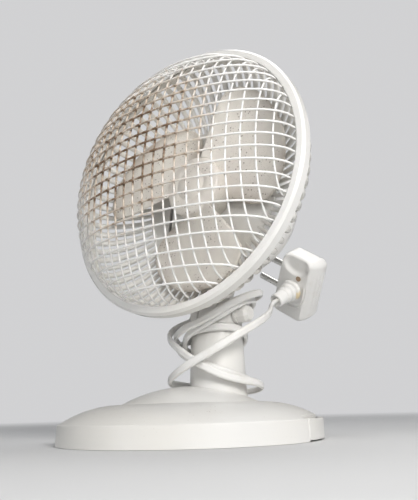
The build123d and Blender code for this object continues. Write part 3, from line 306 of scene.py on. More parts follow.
class Finish(Nodes):
    """One procedural material."""

    def __init__(self, name):
        self.material = bpy.data.materials.new(name)
        self.material.use_nodes = True
        super().__init__(self.material.node_tree)
        self.output = self.tree.nodes.new("ShaderNodeOutputMaterial")
        self.shader = self.tree.nodes.new("ShaderNodeBsdfPrincipled")
        self.shaded = Value(self, self.shader.outputs[0])
        self.feed(self.output.inputs[0], self.shaded)
        self.place = self.node("ShaderNodeTexCoord", {}, result="Object")

    def noise(self, scale, detail=3.0, roughness=0.5):
        return self.node("ShaderNodeTexNoise", {}, Vector=self.place, Scale=scale, Detail=detail,
                         Roughness=roughness)

    def cells(self, scale):
        return self.node("ShaderNodeTexVoronoi", {}, Vector=self.place, Scale=scale)

    def attribute(self, name):
        return self.node("ShaderNodeAttribute", {"attribute_name": name}, result=2)

    def mix(self, factor, first, second):
        """Colour from first to second by a factor, past the node's sockets for other data."""
        other_data = [None] * 5
        return self.node("ShaderNodeMix", {"data_type": "RGBA"}, factor, *other_data, first,
                         second, result=2)

    def surface(self, colour, roughness, height=None, bump=0.0, distance=0.0, **constants):
        """Feeds the shader: what varies over the surface first, then numbers on its own sockets."""
        self.feed(self.shader.inputs["Base Color"], colour)
        self.feed(self.shader.inputs["Roughness"], roughness)
        if height is not None:
            bumped = self.node("ShaderNodeBump", {}, Strength=bump, Distance=distance,
                               Height=height)
            self.feed(self.shader.inputs["Normal"], bumped)
        for key, value in constants.items():
            self.shader.inputs[key.replace("_", " ")].default_value = value
        return self.material


def rgba(colour, share=1.0):
    """Colour with full alpha, darkened to a share."""
    return tuple(channel * share for channel in colour[:3]) + (1.0,)


def moulded_white(name, colour, warm, grime, gloss):
    """Old white moulded plastic: broad yellowing, faint smears, rare specks, an uneven gloss. On
    the ribs the yellowing tone is darker and pinker, which is painted shade as well as yellowing.
    """
    finish = Finish(name)
    yellowing_and_shade = finish.noise(9.0, 2.0).step(0.36, 0.7)
    smear = finish.noise(24.0, 4.0, 0.55).step(0.5, 0.85)
    scatter = finish.noise(30.0, 2.0).step(0.52, 0.7)
    specks = (1 - finish.cells(330.0).step(0.06, 0.16)) * scatter
    aged = finish.mix(yellowing_and_shade * 0.7, rgba(colour), rgba(warm))
    smeared = finish.mix(smear * grime * 0.35, aged, rgba(SMEAR_GREY))
    dirty = finish.mix(specks * grime, smeared, rgba(SPECK_BROWN))
    roughness = smear * 0.14 + finish.noise(160.0, 3.0) * 0.06 + gloss
    waves = finish.noise(22.0, 1.0) + finish.noise(900.0, 1.0) * 0.03
    return finish.surface(dirty, roughness, waves, 0.05, 0.0005, Specular_IOR_Level=0.5)


def plain_metal(name, colour, roughness):
    """Turned or pressed metal with fine scratches and a little tarnish."""
    finish = Finish(name)
    tarnish = finish.noise(240.0, 5.0, 0.6).step(0.45, 0.75)
    scratches = finish.noise(1500.0, 2.0)
    tone = finish.mix(tarnish * 0.5, rgba(colour), rgba(colour, 0.6))
    return finish.surface(tone, tarnish * 0.2 + roughness, scratches, 0.12, 0.0001, Metallic=1.0)


def plain_matte(name, colour, roughness):
    """Rubber, lacquer or dark plastic with a fine grain."""
    finish = Finish(name)
    grain = finish.noise(900.0, 3.0)
    wear = finish.noise(120.0, 4.0).step(0.5, 0.8)
    tone = finish.mix(wear * 0.4, rgba(colour), rgba([channel + 0.06 for channel in colour]))
    return finish.surface(tone, wear * 0.12 + roughness, grain, 0.2, 0.0002)


def wire_paint(name, colour, rust):
    """Painted wire: gloss white enamel, tan with dust and brown where the paint is gone."""
    finish = Finish(name)
    bare = finish.attribute("rust") + (finish.noise(380.0, 4.0, 0.6) - 0.5) * 0.75
    worn = bare.step(0.5, 0.85)
    stain = bare.step(0.12, 0.6)
    tinted = finish.mix(stain * 0.75, rgba(colour), rgba(WIRE_DUST))
    deep = finish.noise(800.0, 3.0).step(0.35, 0.65)
    rusty = finish.mix(deep, rgba(rust), rgba(rust, 0.5))
    tone = finish.mix(worn, tinted, rusty)
    height = worn * 0.8 + finish.noise(1400.0, 2.0) * 0.3
    return finish.surface(tone, worn * 0.4 + stain * 0.15 + 0.2, height, 0.3, 0.0002)


def blade_plastic(name, colour):
    """Cream blade plastic: dust along the leading edge, brown specks where it gathers, clouds."""
    finish = Finish(name)
    edge = finish.attribute("dust")
    cloud = finish.noise(45.0, 5.0, 0.6)
    dust = (edge * 0.8 + (cloud - 0.5) * 1.1).step(0.3, 1.1)
    sprinkled = (finish.noise(40.0, 2.0) + edge * 0.12).step(0.45, 0.62)
    specks = (1 - finish.cells(380.0).step(0.1, 0.26)) * sprinkled
    spots = (1 - finish.cells(900.0).step(0.1, 0.3)) * sprinkled
    toned = finish.mix(cloud.step(0.35, 0.7) * 0.6, rgba(colour), rgba(BLADE_CLOUD))
    dusty = finish.mix(dust * 0.7, toned, rgba(BLADE_DUST))
    tone = finish.mix(specks * 0.75 + spots * 0.35, dusty, rgba(BLADE_SPECK))
    return finish.surface(tone, dust * 0.35 + 0.36, cloud, 0.06, 0.0004)


def cord_sheath(name, colour):
    """White PVC sheath with handling dirt."""
    finish = Finish(name)
    smear = finish.noise(70.0, 5.0, 0.6).step(0.45, 0.8)
    tone = finish.mix(smear * 0.4, rgba(colour), rgba(CORD_DIRT))
    return finish.surface(tone, smear * 0.15 + 0.34, finish.noise(900.0, 2.0), 0.06, 0.0002)


def stained_plastic(name, colour):
    """White plug plastic, yellowed where the stain attribute says."""
    finish = Finish(name)
    stain = finish.attribute("stain") + (finish.noise(300.0, 3.0) - 0.5) * 0.3
    smear = finish.noise(120.0, 5.0, 0.6).step(0.5, 0.8)
    tone = finish.mix(smear * 0.3, rgba(colour), rgba(PLUG_DIRT))
    tone = finish.mix(stain.step(0.3, 0.9) * 0.8, tone, rgba(PLUG_YELLOW))
    return finish.surface(tone, smear * 0.12 + 0.3, finish.noise(800.0, 2.0), 0.06, 0.0002)


# ---------------------------------------------------------------- sizes and colours
def length_setting(name, description, default):
    return FloatProperty(name=name, description=description, default=default, min=0.0,
                         subtype="DISTANCE", unit="LENGTH", precision=5)


def angle_setting(name, description, degrees):
    return FloatProperty(name=name, description=description, default=radians(degrees),
                         subtype="ANGLE", unit="ROTATION")


def colour_setting(name, description, default):
    return FloatVectorProperty(name=name, description=description, default=default, size=3,
                               subtype="COLOR", min=0.0, max=1.0)


class ClipFanSettings(bpy.types.PropertyGroup):
    """Sizes and colours of the fan."""

    mesh_pitch: length_setting("Mesh pitch", "Distance between two wires", 0.0078)
    mesh_radius: length_setting("Mesh radius", "Radius of the wire dome at its foot", 0.086)
    mesh_depth: length_setting("Mesh depth", "Crown of the dome in front of the ring", 0.033)
    wire_radius: length_setting("Wire radius", "Half the thickness of a wire", 0.00062)
    rim_radius: length_setting("Rim radius", "Radius of the rim wire", 0.087)
    rib_count: IntProperty(name="Ribs", description="Ribs of the rear guard", default=72, min=12)
    blade_radius: length_setting("Blade radius", "Reach of a blade", 0.075)
    blade_phase: angle_setting("Blade phase", "Turn of the blades at rest", 24.0)
    blade_span: angle_setting("Blade span", "How far a blade reaches round", 96.0)
    blade_count: IntProperty(name="Blades", description="Number of blades", default=3, min=2)
    cord_width: length_setting("Cord width", "Width of the flat cord", 0.0049)
    cord_thickness: length_setting("Cord thickness", "Thickness of the flat cord", 0.0031)
    plug_width: length_setting("Plug width", "Length of the plug's face", 0.052)
    plug_depth: length_setting("Plug depth", "Width of the plug's face", 0.030)
    plug_height: length_setting("Plug height", "Plug along the cord", 0.019)
    shell_colour: colour_setting("Shell", "Base, neck, housing and ring", (0.80, 0.79, 0.77))
    guard_colour: colour_setting("Guard", "Rear guard with its ribs", (0.80, 0.785, 0.75))
    wire_colour: colour_setting("Wire", "Paint of the wires", (0.88, 0.87, 0.85))
    rust_colour: colour_setting("Rust", "Bare spots of the wires", (0.26, 0.16, 0.09))
    blade_colour: colour_setting("Blade", "Blades and hub", (0.84, 0.80, 0.73))
    cord_colour: colour_setting("Cord", "Sheath of cord and plug", (0.82, 0.81, 0.79))


class ClipFanOperator:
    """What all operators of the fan share."""

    bl_options = {"REGISTER", "UNDO"}


# ---------------------------------------------------------------- stage
def facing(right, up, back, place):
    """Matrix of a camera or lamp: its three axes and its place as columns."""
    matrix = Matrix.Identity(4)
    for index, column in enumerate((right, up, back, place)):
        for row in range(3):
            matrix[row][index] = column[row]
    return matrix


class CLIPFAN_OT_stage(ClipFanOperator, bpy.types.Operator):
    """Adds the camera, the floor, the world and the lamps"""

    bl_idname = "clipfan.stage"
    bl_label = "Stage"

    FLOOR_RADIUS = 1.4
    BEND_RADIUS = 0.9
    WALL_TOP = 4.0
    PAPER_BELOW = 0.0002

    def add_camera(self, scene):
        camera = bpy.data.objects.new("view_camera", bpy.data.cameras.new("view_camera"))
        scene.collection.objects.link(camera)
        ahead = np.array([-cos(CAMERA_PITCH), 0.0, sin(CAMERA_PITCH)])
        up = np.array([sin(CAMERA_PITCH), 0.0, cos(CAMERA_PITCH)])
        right = np.array([0.0, 1.0, 0.0])
        roll_cos, roll_sin = cos(CAMERA_ROLL), sin(CAMERA_ROLL)
        right, up = right * roll_cos - up * roll_sin, right * roll_sin + up * roll_cos
        camera.matrix_world = facing(right, up, -ahead, CAMERA_PLACE)
        camera.data.sensor_fit = "HORIZONTAL"
        camera.data.sensor_width = SENSOR_WIDTH
        camera.data.lens = FOCAL_PIXELS / PHOTO_WIDTH * SENSOR_WIDTH
        camera.data.clip_start = 0.01
        scene.camera = camera

    def add_paper(self, scene):
        """Paper round the fan: a flat disc, and beyond it a quarter circle up to a wall. Far from
        the fan it shows pale to the camera, and near the fan the floor keeps the shadow."""
        finish = Finish("sweep_paper")
        tone = finish.mix(finish.noise(3.0, 2.0) * 0.3, rgba(PAPER), rgba(PAPER_CLOUD))
        paper = finish.surface(tone, 0.8, Specular_IOR_Level=0.2)
        seen = finish.node("ShaderNodeLightPath", {}, result="Is Camera Ray")
        distance = finish.node("ShaderNodeVectorMath", {"operation": "LENGTH"}, finish.place,
                               result=1)
        share = seen * distance.step(FAR_FROM, FAR_TO)
        glow = finish.node("ShaderNodeEmission", {}, rgba(PAPER_FAR), 1.0)
        shown = finish.node("ShaderNodeMixShader", {}, share, finish.shaded, glow)
        finish.feed(finish.output.inputs[0], shown)
        bend = np.linspace(0, pi / 2, 25)
        rising = np.stack([self.FLOOR_RADIUS + self.BEND_RADIUS * np.sin(bend),
                           self.BEND_RADIUS - self.BEND_RADIUS * np.cos(bend)], 1)
        wall = [(self.FLOOR_RADIUS + self.BEND_RADIUS, self.WALL_TOP)]
        profiles = {"floor": [(0.001, 0.0), (self.FLOOR_RADIUS, 0.0)],
                    "backdrop": np.concatenate([rising, wall])}
        origin = np.array([0.0, 0.0, -self.PAPER_BELOW])
        for name, profile in profiles.items():
            points, faces = turned(profile, origin, np.array([0.0, 0.0, 1.0]),
                                   np.array([1.0, 0.0, 0.0]), 96)
            mesh = bpy.data.meshes.new(name)
            mesh.from_pydata(points.tolist(), [], faces[:, ::-1].tolist())
            mesh.polygons.foreach_set("use_smooth", [True] * len(mesh.polygons))
            mesh.materials.append(paper)
            stage = bpy.data.objects.new(name, mesh)
            stage.visible_diffuse = name == "floor"
            scene.collection.objects.link(stage)

    def add_world(self, scene):
        """Pale to the camera and to reflections, dimmer as light."""
        world = bpy.data.worlds.new("studio")
        scene.world = world
        world.use_nodes = True
        nodes = Nodes(world.node_tree)
        camera_ray = nodes.node("ShaderNodeLightPath", {}, result="Is Camera Ray")
        glossy_ray = nodes.node("ShaderNodeLightPath", {}, result="Is Glossy Ray")
        either = camera_ray.math("MAXIMUM", camera_ray, glossy_ray)
        light = nodes.node("ShaderNodeBackground", {}, rgba(WORLD_LIGHT), WORLD_LEVEL)
        seen = nodes.node("ShaderNodeBackground", {}, rgba(WORLD_SEEN), 1.0)
        output = nodes.tree.nodes.new("ShaderNodeOutputWorld")
        nodes.feed(output.inputs[0],
                   nodes.node("ShaderNodeMixShader", {}, either, light, seen))

    def add_lamp(self, scene, name, place, aim, size, power, colour):
        light = bpy.data.lights.new(name, "AREA")
        light.shape = "DISK"
        light.size = size
        light.energy = power
        light.color = colour
        lamp = bpy.data.objects.new(name, light)
        scene.collection.objects.link(lamp)
        back = np.array(place, float) - np.array(aim, float)
        back /= np.linalg.norm(back)
        right = np.cross([0.0, 0.0, 1.0], back)
        right /= np.linalg.norm(right)
        lamp.matrix_world = facing(right, np.cross(back, right), back, place)

    def execute(self, context):
        scene = context.scene
        scene.view_settings.view_transform = "Standard"
        self.add_camera(scene)
        self.add_paper(scene)
        self.add_world(scene)
        for lamp in LAMPS:
            self.add_lamp(scene, *lamp)
        return {"FINISHED"}


# ---------------------------------------------------------------- pieces
class CLIPFAN_OT_cord(ClipFanOperator, bpy.types.Operator):
    """Adds the flat cord wound round the neck, on the line of its route"""

    bl_idname = "clipfan.cord"
    bl_label = "Power cord"

    SIDES = 20
    GROOVE = 0.3
    INTO_COLLAR = 2.0
    BEFORE_COLLAR = 6.0
    # the lowest loop lies over the crown of the base at this height, and is pressed flatter there
    CROWN_HEIGHT = 29.5
    CROWN_REACH = 3.0
    PRESSED = 0.2

    def line(self):
        """Points of a smooth curve along the route, from the gland round the neck to the plug."""
        turns = np.array(CORD_TURNS, float)
        angle = np.radians(turns[:, 0])
        wound = np.stack([turns[:, 1] * np.cos(angle), NECK_Y + turns[:, 1] * np.sin(angle),
                          turns[:, 2]], 1)
        end = [collar_tip - plug_axis * self.BEFORE_COLLAR,
               collar_tip + plug_axis * self.INTO_COLLAR]
        route = np.concatenate([[GLAND_START], wound, CORD_LEAD, end])
        curve = bpy.data.curves.new("cord_line", "CURVE")
        curve.dimensions = "3D"
        spline = curve.splines.new("NURBS")
        spline.points.add(len(route) - 1)
        spline.points.foreach_set("co", np.c_[route * MM, np.ones(len(route))].ravel())
        spline.order_u = 3
        spline.use_endpoint_u = True
        spline.resolution_u = 8
        mesh = mesh_of(curve)
        path = np.zeros(len(mesh.vertices) * 3)
        mesh.vertices.foreach_get("co", path)
        bpy.data.meshes.remove(mesh)
        return path.reshape(-1, 3) / MM

    def execute(self, context):
        settings = context.scene.clip_fan
        path = self.line()
        # the flat side faces the neck
        out = path - np.array([0.0, NECK_Y, 0.0])
        out[:, 2] = 0.0
        out /= np.linalg.norm(out, axis=1, keepdims=True)
        pressed = 1 - self.PRESSED * hill(path[:, 2], self.CROWN_HEIGHT, self.CROWN_REACH, 2)
        points, faces = tube(path, out, settings.cord_width / 2 / MM,
                             settings.cord_thickness / 2 / MM, self.SIDES, self.GROOVE, pressed)
        material = cord_sheath("cord_sheath", settings.cord_colour)
        cord = make_piece("flat_cord", points, faces, "neck", material)
        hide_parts("power_cord")
        return {"FINISHED"}


class CLIPFAN_OT_wires(ClipFanOperator, bpy.types.Operator):
    """Adds the two layers of round wires of the domed front guard, with rust at the crossings"""

    bl_idname = "clipfan.wires"
    bl_label = "Wire guard"

    FOOT = -1.5
    LAYER_GAP = 1.3
    CLEAR_OF_RIM = 3.5
    STEP = 2.2
    SIDES = 8
    CROSSING_REACH = 1.5
    RUST_X, RUST_Y = -15, 10
    RUST_WIDE, RUST_TALL = 61, 57
    RIM_COLUMNS = 160
    RIM_SIDES = 12
    RIM_THICK = 1.2
    RIM_BEHIND = 2.45

    def rust(self, x, y, near, chance):
        """A broad patch up and left of the middle, times a slow drift, and more near a crossing.
        Gives the amount of rust and how much it swells the wire."""
        across = (x - self.RUST_X) / self.RUST_WIDE
        upright = (y - self.RUST_Y) / self.RUST_TALL
        patch = np.exp(-((across ** 2 + upright ** 2) ** 2.2))
        drift = 0.5 + 0.5 * (np.sin(x / 7.3 + 2.1 * np.sin(y / 9.1))
                             * np.sin(y / 6.1 + 1.7 * np.sin(x / 11.3)))
        amount = patch * (0.42 + 0.30 * drift + (0.1 + 0.25 * chance) * near)
        return amount + 0.05 + 0.08 * near * chance, 1 + 0.35 * near * patch * chance

    def layer(self, settings, paint, name, node, lateral, plane, inset, seed):
        """A wire is the half ellipse that a plane at a fixed offset k cuts from the dome's half
        ellipsoid: s = R w sin a, height = foot + D w cos a, with w = sqrt(1 - (k / R)^2), at even
        steps of length."""
        pitch = settings.mesh_pitch / MM
        radius = settings.mesh_radius / MM - inset
        foot = self.FOOT - inset * 0.5
        crown = settings.mesh_depth / MM - inset - foot
        thick = settings.wire_radius / MM
        count = int((settings.mesh_radius / MM - self.CLEAR_OF_RIM) / pitch)
        fine = np.linspace(-pi / 2, pi / 2, 721)
        parts = []
        rust = []
        for index in range(-count, count + 1):
            offset = pitch * index
            share = sqrt(1 - (offset / radius) ** 2)
            walk = np.hypot(np.diff(radius * share * np.sin(fine)),
                            np.diff(crown * share * np.cos(fine)))
            walk = np.concatenate([[0.0], np.cumsum(walk)])
            steps = max(13, int(walk[-1] / self.STEP))
            a = np.interp(np.linspace(0, walk[-1], steps), walk, fine)
            s = radius * share * np.sin(a)
            path = (ring_centre + plane * offset + s[:, None] * lateral
                    + (foot + crown * share * np.cos(a))[:, None] * front)
            nearest = np.round(s / pitch)
            near = hill(s, nearest * pitch, self.CROSSING_REACH, 2)
            # scattered numbers from 0 to 1, one for each crossing and the same in each run
            chance = np.abs(np.sin(12.9898 * nearest + 78.233 * index + seed) * 43758.5453) % 1.0
            fixed = np.full_like(s, offset)
            x, y = (s, fixed) if lateral is side else (fixed, s)
            amount, swell = self.rust(x, y, near, chance)
            parts.append(tube(path, np.repeat(plane[None], steps, 0), thick, thick, self.SIDES,
                              0.0, swell))
            rust.append(np.repeat(amount, self.SIDES))
        points, faces = join(parts)
        piece = make_piece(name, points, faces, "head", paint)
        give_attribute(piece, "rust", np.concatenate(rust))
        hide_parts(node)

    def rim(self, settings, paint):
        """Torus: (R + r cos t) round the ring's axis, r sin t along it."""
        columns, sides = self.RIM_COLUMNS, self.RIM_SIDES
        a = np.linspace(0, 2 * pi, columns, endpoint=False)
        t = np.linspace(0, 2 * pi, sides, endpoint=False)
        reach = settings.rim_radius / MM + self.RIM_THICK * np.cos(t)[None, :, None]
        around = (np.cos(a)[:, None] * side + np.sin(a)[:, None] * head_up)[:, None]
        along = self.RIM_THICK * np.sin(t)[None, :, None] - self.RIM_BEHIND
        points = (ring_centre + reach * around + along * front).reshape(-1, 3)
        faces = grid_faces(columns + 1, sides) % len(points)
        rim = make_piece("rim_ring_wire", points, faces[:, ::-1], "head", paint)
        give_attribute(rim, "rust", np.full(len(points), 0.12))
        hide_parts("rim_wire")

    def execute(self, context):
        settings = context.scene.clip_fan
        paint = wire_paint("wire_paint", settings.wire_colour, settings.rust_colour)
        self.layer(settings, paint, "across_wires", "wires_across", side, head_up, 0.0, 0.0)
        self.layer(settings, paint, "upright_wires", "wires_upright", head_up, side,
                   self.LAYER_GAP, 0.7)
        self.rim(settings, paint)
        return {"FINISHED"}


class CLIPFAN_OT_rear_guard(ClipFanOperator, bpy.types.Operator):
    """Adds the rear guard: rim band, rounded ribs round the bowl's corner, slotted plate"""

    bl_idname = "clipfan.rear_guard"
    bl_label = "Rear guard"

    BOWL_INNER = 50.0
    BOWL_REACH = 38.2
    BOWL_FRONT = -9.4
    BOWL_DEPTH = 27.6
    RIB_STEPS = 26
    RIB_SIDES = 12
    ROUND_COLUMNS = 216
    PLATE_RADIUS = 53.4
    PLATE_THICK = 2.0
    PLATE_HEIGHT = -37.0
    PLATE_EDGE = 0.3
    SHAFT_HOLE = 7.3
    SLOT_RADIUS = 1.4
    # middle line, lower end and upper end of each vent slot
    SLOTS = ((0.0, -47, -15), (7.6, -47, -15), (-34.0, -20, 12), (34.0, -8, 24))
    PILLAR_X = 27.0
    # closed outline of the band: distance from the axis, height along it
    BAND = ((87.6, -10.7), (89.1, -10.7), (89.6, -10.2), (89.6, -6.3), (89.2, -5.8),
            (87.6, -5.8), (87.2, -6.2), (87.2, -10.3))
    PILLAR = ((0.01, -48.4), (3.3, -48.4), (3.6, -48.1), (3.6, -37.5), (0.01, -37.5))

    def ribs(self, count):
        """Centre line of a rib: radius = inner + reach cos(t)^p, height = front - depth sin(t)^p,
        a quarter superellipse. Section: a rounded bar, half width 0.53 of half the pitch, thicker
        on its outer side."""
        t = np.linspace(0, pi / 2, self.RIB_STEPS)
        power = 2 / 1.65
        radius = self.BOWL_INNER + self.BOWL_REACH * np.cos(t) ** power
        height = self.BOWL_FRONT - self.BOWL_DEPTH * np.sin(t) ** power
        along = np.stack([np.gradient(radius), np.gradient(height)], 1)
        along /= np.linalg.norm(along, axis=1, keepdims=True)
        outward = np.stack([-along[:, 1], along[:, 0]], 1)
        swell = np.sin(t * 2) ** 0.7
        a = np.linspace(0, 2 * pi, self.RIB_SIDES, endpoint=False)
        across = np.sign(np.cos(a)) * np.abs(np.cos(a)) ** 0.75
        deep = np.sign(np.sin(a)) * np.abs(np.sin(a)) ** 0.75
        half = radius * pi / count * 0.53
        lift = np.where(deep > 0, deep * (1.15 + 0.9 * swell[:, None]), deep * 1.1)
        r = radius[:, None] + outward[:, :1] * lift
        z = height[:, None] + outward[:, 1:] * lift
        wide = half[:, None] * across
        faces = [face[::-1] for face in capped_faces(len(t), self.RIB_SIDES)]
        parts = []
        for index in range(count):
            turn = 2 * pi * (index + 0.5) / count
            ray = cos(turn) * side + sin(turn) * head_up
            beside = cos(turn) * head_up - sin(turn) * side
            points = (ring_centre + r[..., None] * ray + wide[..., None] * beside
                      + z[..., None] * front)
            parts.append((points.reshape(-1, 3), faces))
        return parts

    def plate(self):
        """Flat disc with rounded edges, a shaft hole and vent slots, filled between outlines."""
        loops = [circle(self.PLATE_RADIUS - self.PLATE_EDGE, 144), circle(self.SHAFT_HOLE, 40)]
        a = np.linspace(0, pi, 13)
        x, y = self.SLOT_RADIUS * np.cos(a), self.SLOT_RADIUS * np.sin(a)
        for middle, low, high in self.SLOTS:
            loops.append(np.concatenate([np.stack([middle + x, high + y], 1),
                                         np.stack([middle - x, low - y], 1)]))
        curve = bpy.data.curves.new("plate_outline", "CURVE")
        curve.dimensions = "2D"
        curve.fill_mode = "BOTH"
        curve.bevel_depth = self.PLATE_EDGE * MM
        curve.bevel_resolution = 2
        curve.extrude = (self.PLATE_THICK / 2 - self.PLATE_EDGE) * MM
        for loop in loops:
            spline = curve.splines.new("POLY")
            spline.points.add(len(loop) - 1)
            corners = np.c_[loop * MM, np.zeros(len(loop)), np.ones(len(loop))]
            spline.points.foreach_set("co", corners.ravel())
            spline.use_cyclic_u = True
        mesh = mesh_of(curve)
        shape = bmesh.new()
        shape.from_mesh(mesh)
        bmesh.ops.remove_doubles(shape, verts=shape.verts, dist=1e-6)
        bmesh.ops.recalc_face_normals(shape, faces=shape.faces)
        flat = np.array([vertex.co for vertex in shape.verts]) / MM
        faces = [[vertex.index for vertex in face.verts] for face in shape.faces]
        shape.free()
        bpy.data.meshes.remove(mesh)
        points = (ring_centre + flat[:, :1] * side + flat[:, 1:2] * head_up
                  + (flat[:, 2:] + self.PLATE_HEIGHT) * front)
        return points, faces

    def execute(self, context):
        settings = context.scene.clip_fan
        # the ribs' yellowing tone is partly real yellowing and partly painted shade, darker and
        # pinker than the shell's
        plastic = moulded_white("rib_plastic", settings.guard_colour, RIB_YELLOWING_AND_SHADE, 0.6, 0.24)
        points, _ = turned(self.BAND, ring_centre, front, side, self.ROUND_COLUMNS)
        faces = grid_faces(len(self.BAND) + 1, self.ROUND_COLUMNS) % len(points)
        parts = self.ribs(settings.rib_count) + [(points, faces), self.plate()]
        for x in (-self.PILLAR_X, self.PILLAR_X):
            parts.append(turned(self.PILLAR, ring_centre + x * side, front, side, 32))
        points, faces = join(parts)
        guard = make_piece("ribbed_guard", points, faces, "head", plastic)
        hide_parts("rear_guard")
        return {"FINISHED"}


class CLIPFAN_OT_blades(ClipFanOperator, bpy.types.Operator):
    """Adds the hub and its wide blades with rounded corners and dusty edges"""

    bl_idname = "clipfan.blades"
    bl_label = "Blades"

    ROWS = 30
    COLUMNS = 44
    BACK = -33.0
    NOSE = -13.0
    HUB_RADIUS = 21.0
    HUB_BORE = 17.5
    ROOT_RADIUS = 19.9
    # reach of the blade's outline as a share of its radius, at shares of its span
    SHARES = (0.0, 0.02, 0.06, 0.13, 0.25, 0.5, 0.75, 0.88, 0.95, 0.985, 1.0)
    REACH = (0.50, 0.62, 0.70, 0.77, 0.85, 0.95, 1.0, 0.985, 0.93, 0.85, 0.68)
    # how dirty each blade is in turn
    SOILED = (0.1, 0.5, 0.25)

    def blade(self, settings, index):
        """Two sheets and a border. With u from the dusty edge to the other and v from root to
        tip: radius = root + (tip(u) - root) v, angle = span (u - 1/2), height = back + 1.3
        + 16.34 u (1.15 - 0.15 u) + 1.5 (radius - hub) / R, and half the thickness is
        0.35 + 0.42 sqrt(edge), where edge rises from 0 at the outline to 1."""
        rows, columns = self.ROWS, self.COLUMNS
        u = np.linspace(0, 1, columns)
        v = np.linspace(0, 1, rows)
        blade_radius = settings.blade_radius / MM
        tip = np.interp(u, self.SHARES, self.REACH) * blade_radius
        radius = self.ROOT_RADIUS + (tip[None] - self.ROOT_RADIUS) * v[:, None]
        angle = np.degrees(settings.blade_span) * (u[None] - 0.5) + 0 * radius
        height = self.BACK + 1.3 + 16.34 * u[None] * (1.15 - 0.15 * u[None])
        height = height + 1.5 * (radius - self.HUB_RADIUS) / blade_radius
        turn = np.radians(angle + index * 360.0 / settings.blade_count) + settings.blade_phase
        top = (ring_centre + (radius * np.cos(turn))[..., None] * side
               + (radius * np.sin(turn))[..., None] * head_up)
        edge = np.minimum(np.minimum(u, 1 - u)[None] * 16, (1 - v)[:, None] * 14)
        half = 0.35 + 0.42 * np.sqrt(np.minimum(1.0, edge))
        upper = top + (height + half)[..., None] * front
        lower = top + (height - half)[..., None] * front
        count = rows * columns
        sheet = grid_faces(rows, columns, False)
        border = np.concatenate([np.arange(columns),
                                 np.arange(2 * columns, count + 1, columns) - 1,
                                 np.arange(count - 2, count - columns - 1, -1),
                                 np.arange(count - 2 * columns, 0, -columns)])
        following = np.roll(border, -1)
        rim = np.stack([border, border + count, following + count, following], 1)
        faces = np.concatenate([sheet, sheet[:, ::-1] + count, rim])
        worn = np.clip(1.0 - np.minimum(u[None] * 4.0, (1 - v)[:, None] * 5.0), 0, 1)
        soiled = self.SOILED[index % len(self.SOILED)]
        dust = np.tile((soiled + 0.75 * worn).ravel(), 2)
        return np.concatenate([upper.reshape(-1, 3), lower.reshape(-1, 3)]), faces, dust

    def hub(self):
        """Turned cap with a rounded shoulder and a ring groove, and its hollow inside."""
        back, nose, reach, bore = self.BACK, self.NOSE, self.HUB_RADIUS, self.HUB_BORE
        cap = [(bore, back), (reach, back), (reach, nose - 5.0), (reach - 0.2, nose - 4.0),
               (reach - 0.8, nose - 3.0), (reach - 2.0, nose - 2.3), (16.0, nose - 1.5),
               (12.0, nose - 0.8), (11.4, nose - 1.2), (10.6, nose - 1.2), (10.0, nose - 0.6),
               (6.0, nose - 0.2), (0.01, nose)]
        hollow = [(bore, back), (bore, nose - 6.0), (0.01, nose - 6.0)]
        points, faces = turned(hollow, ring_centre, front, side, 96)
        return turned(cap, ring_centre, front, side, 96), (points, faces[:, ::-1])

    def execute(self, context):
        settings = context.scene.clip_fan
        plastic = blade_plastic("blade_plastic", settings.blade_colour)
        parts = []
        dust = []
        for index in range(settings.blade_count):
            points, faces, soil = self.blade(settings, index)
            parts.append((points, faces))
            dust.append(soil)
        for part, soil in zip(self.hub(), (0.25, 0.5)):
            parts.append(part)
            dust.append(np.full(len(part[0]), soil))
        points, faces = join(parts)
        piece = make_piece("blade_wheel", points, faces, "rotor", plastic)
        give_attribute(piece, "dust", np.concatenate(dust))
        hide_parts("fan_blades")
        return {"FINISHED"}


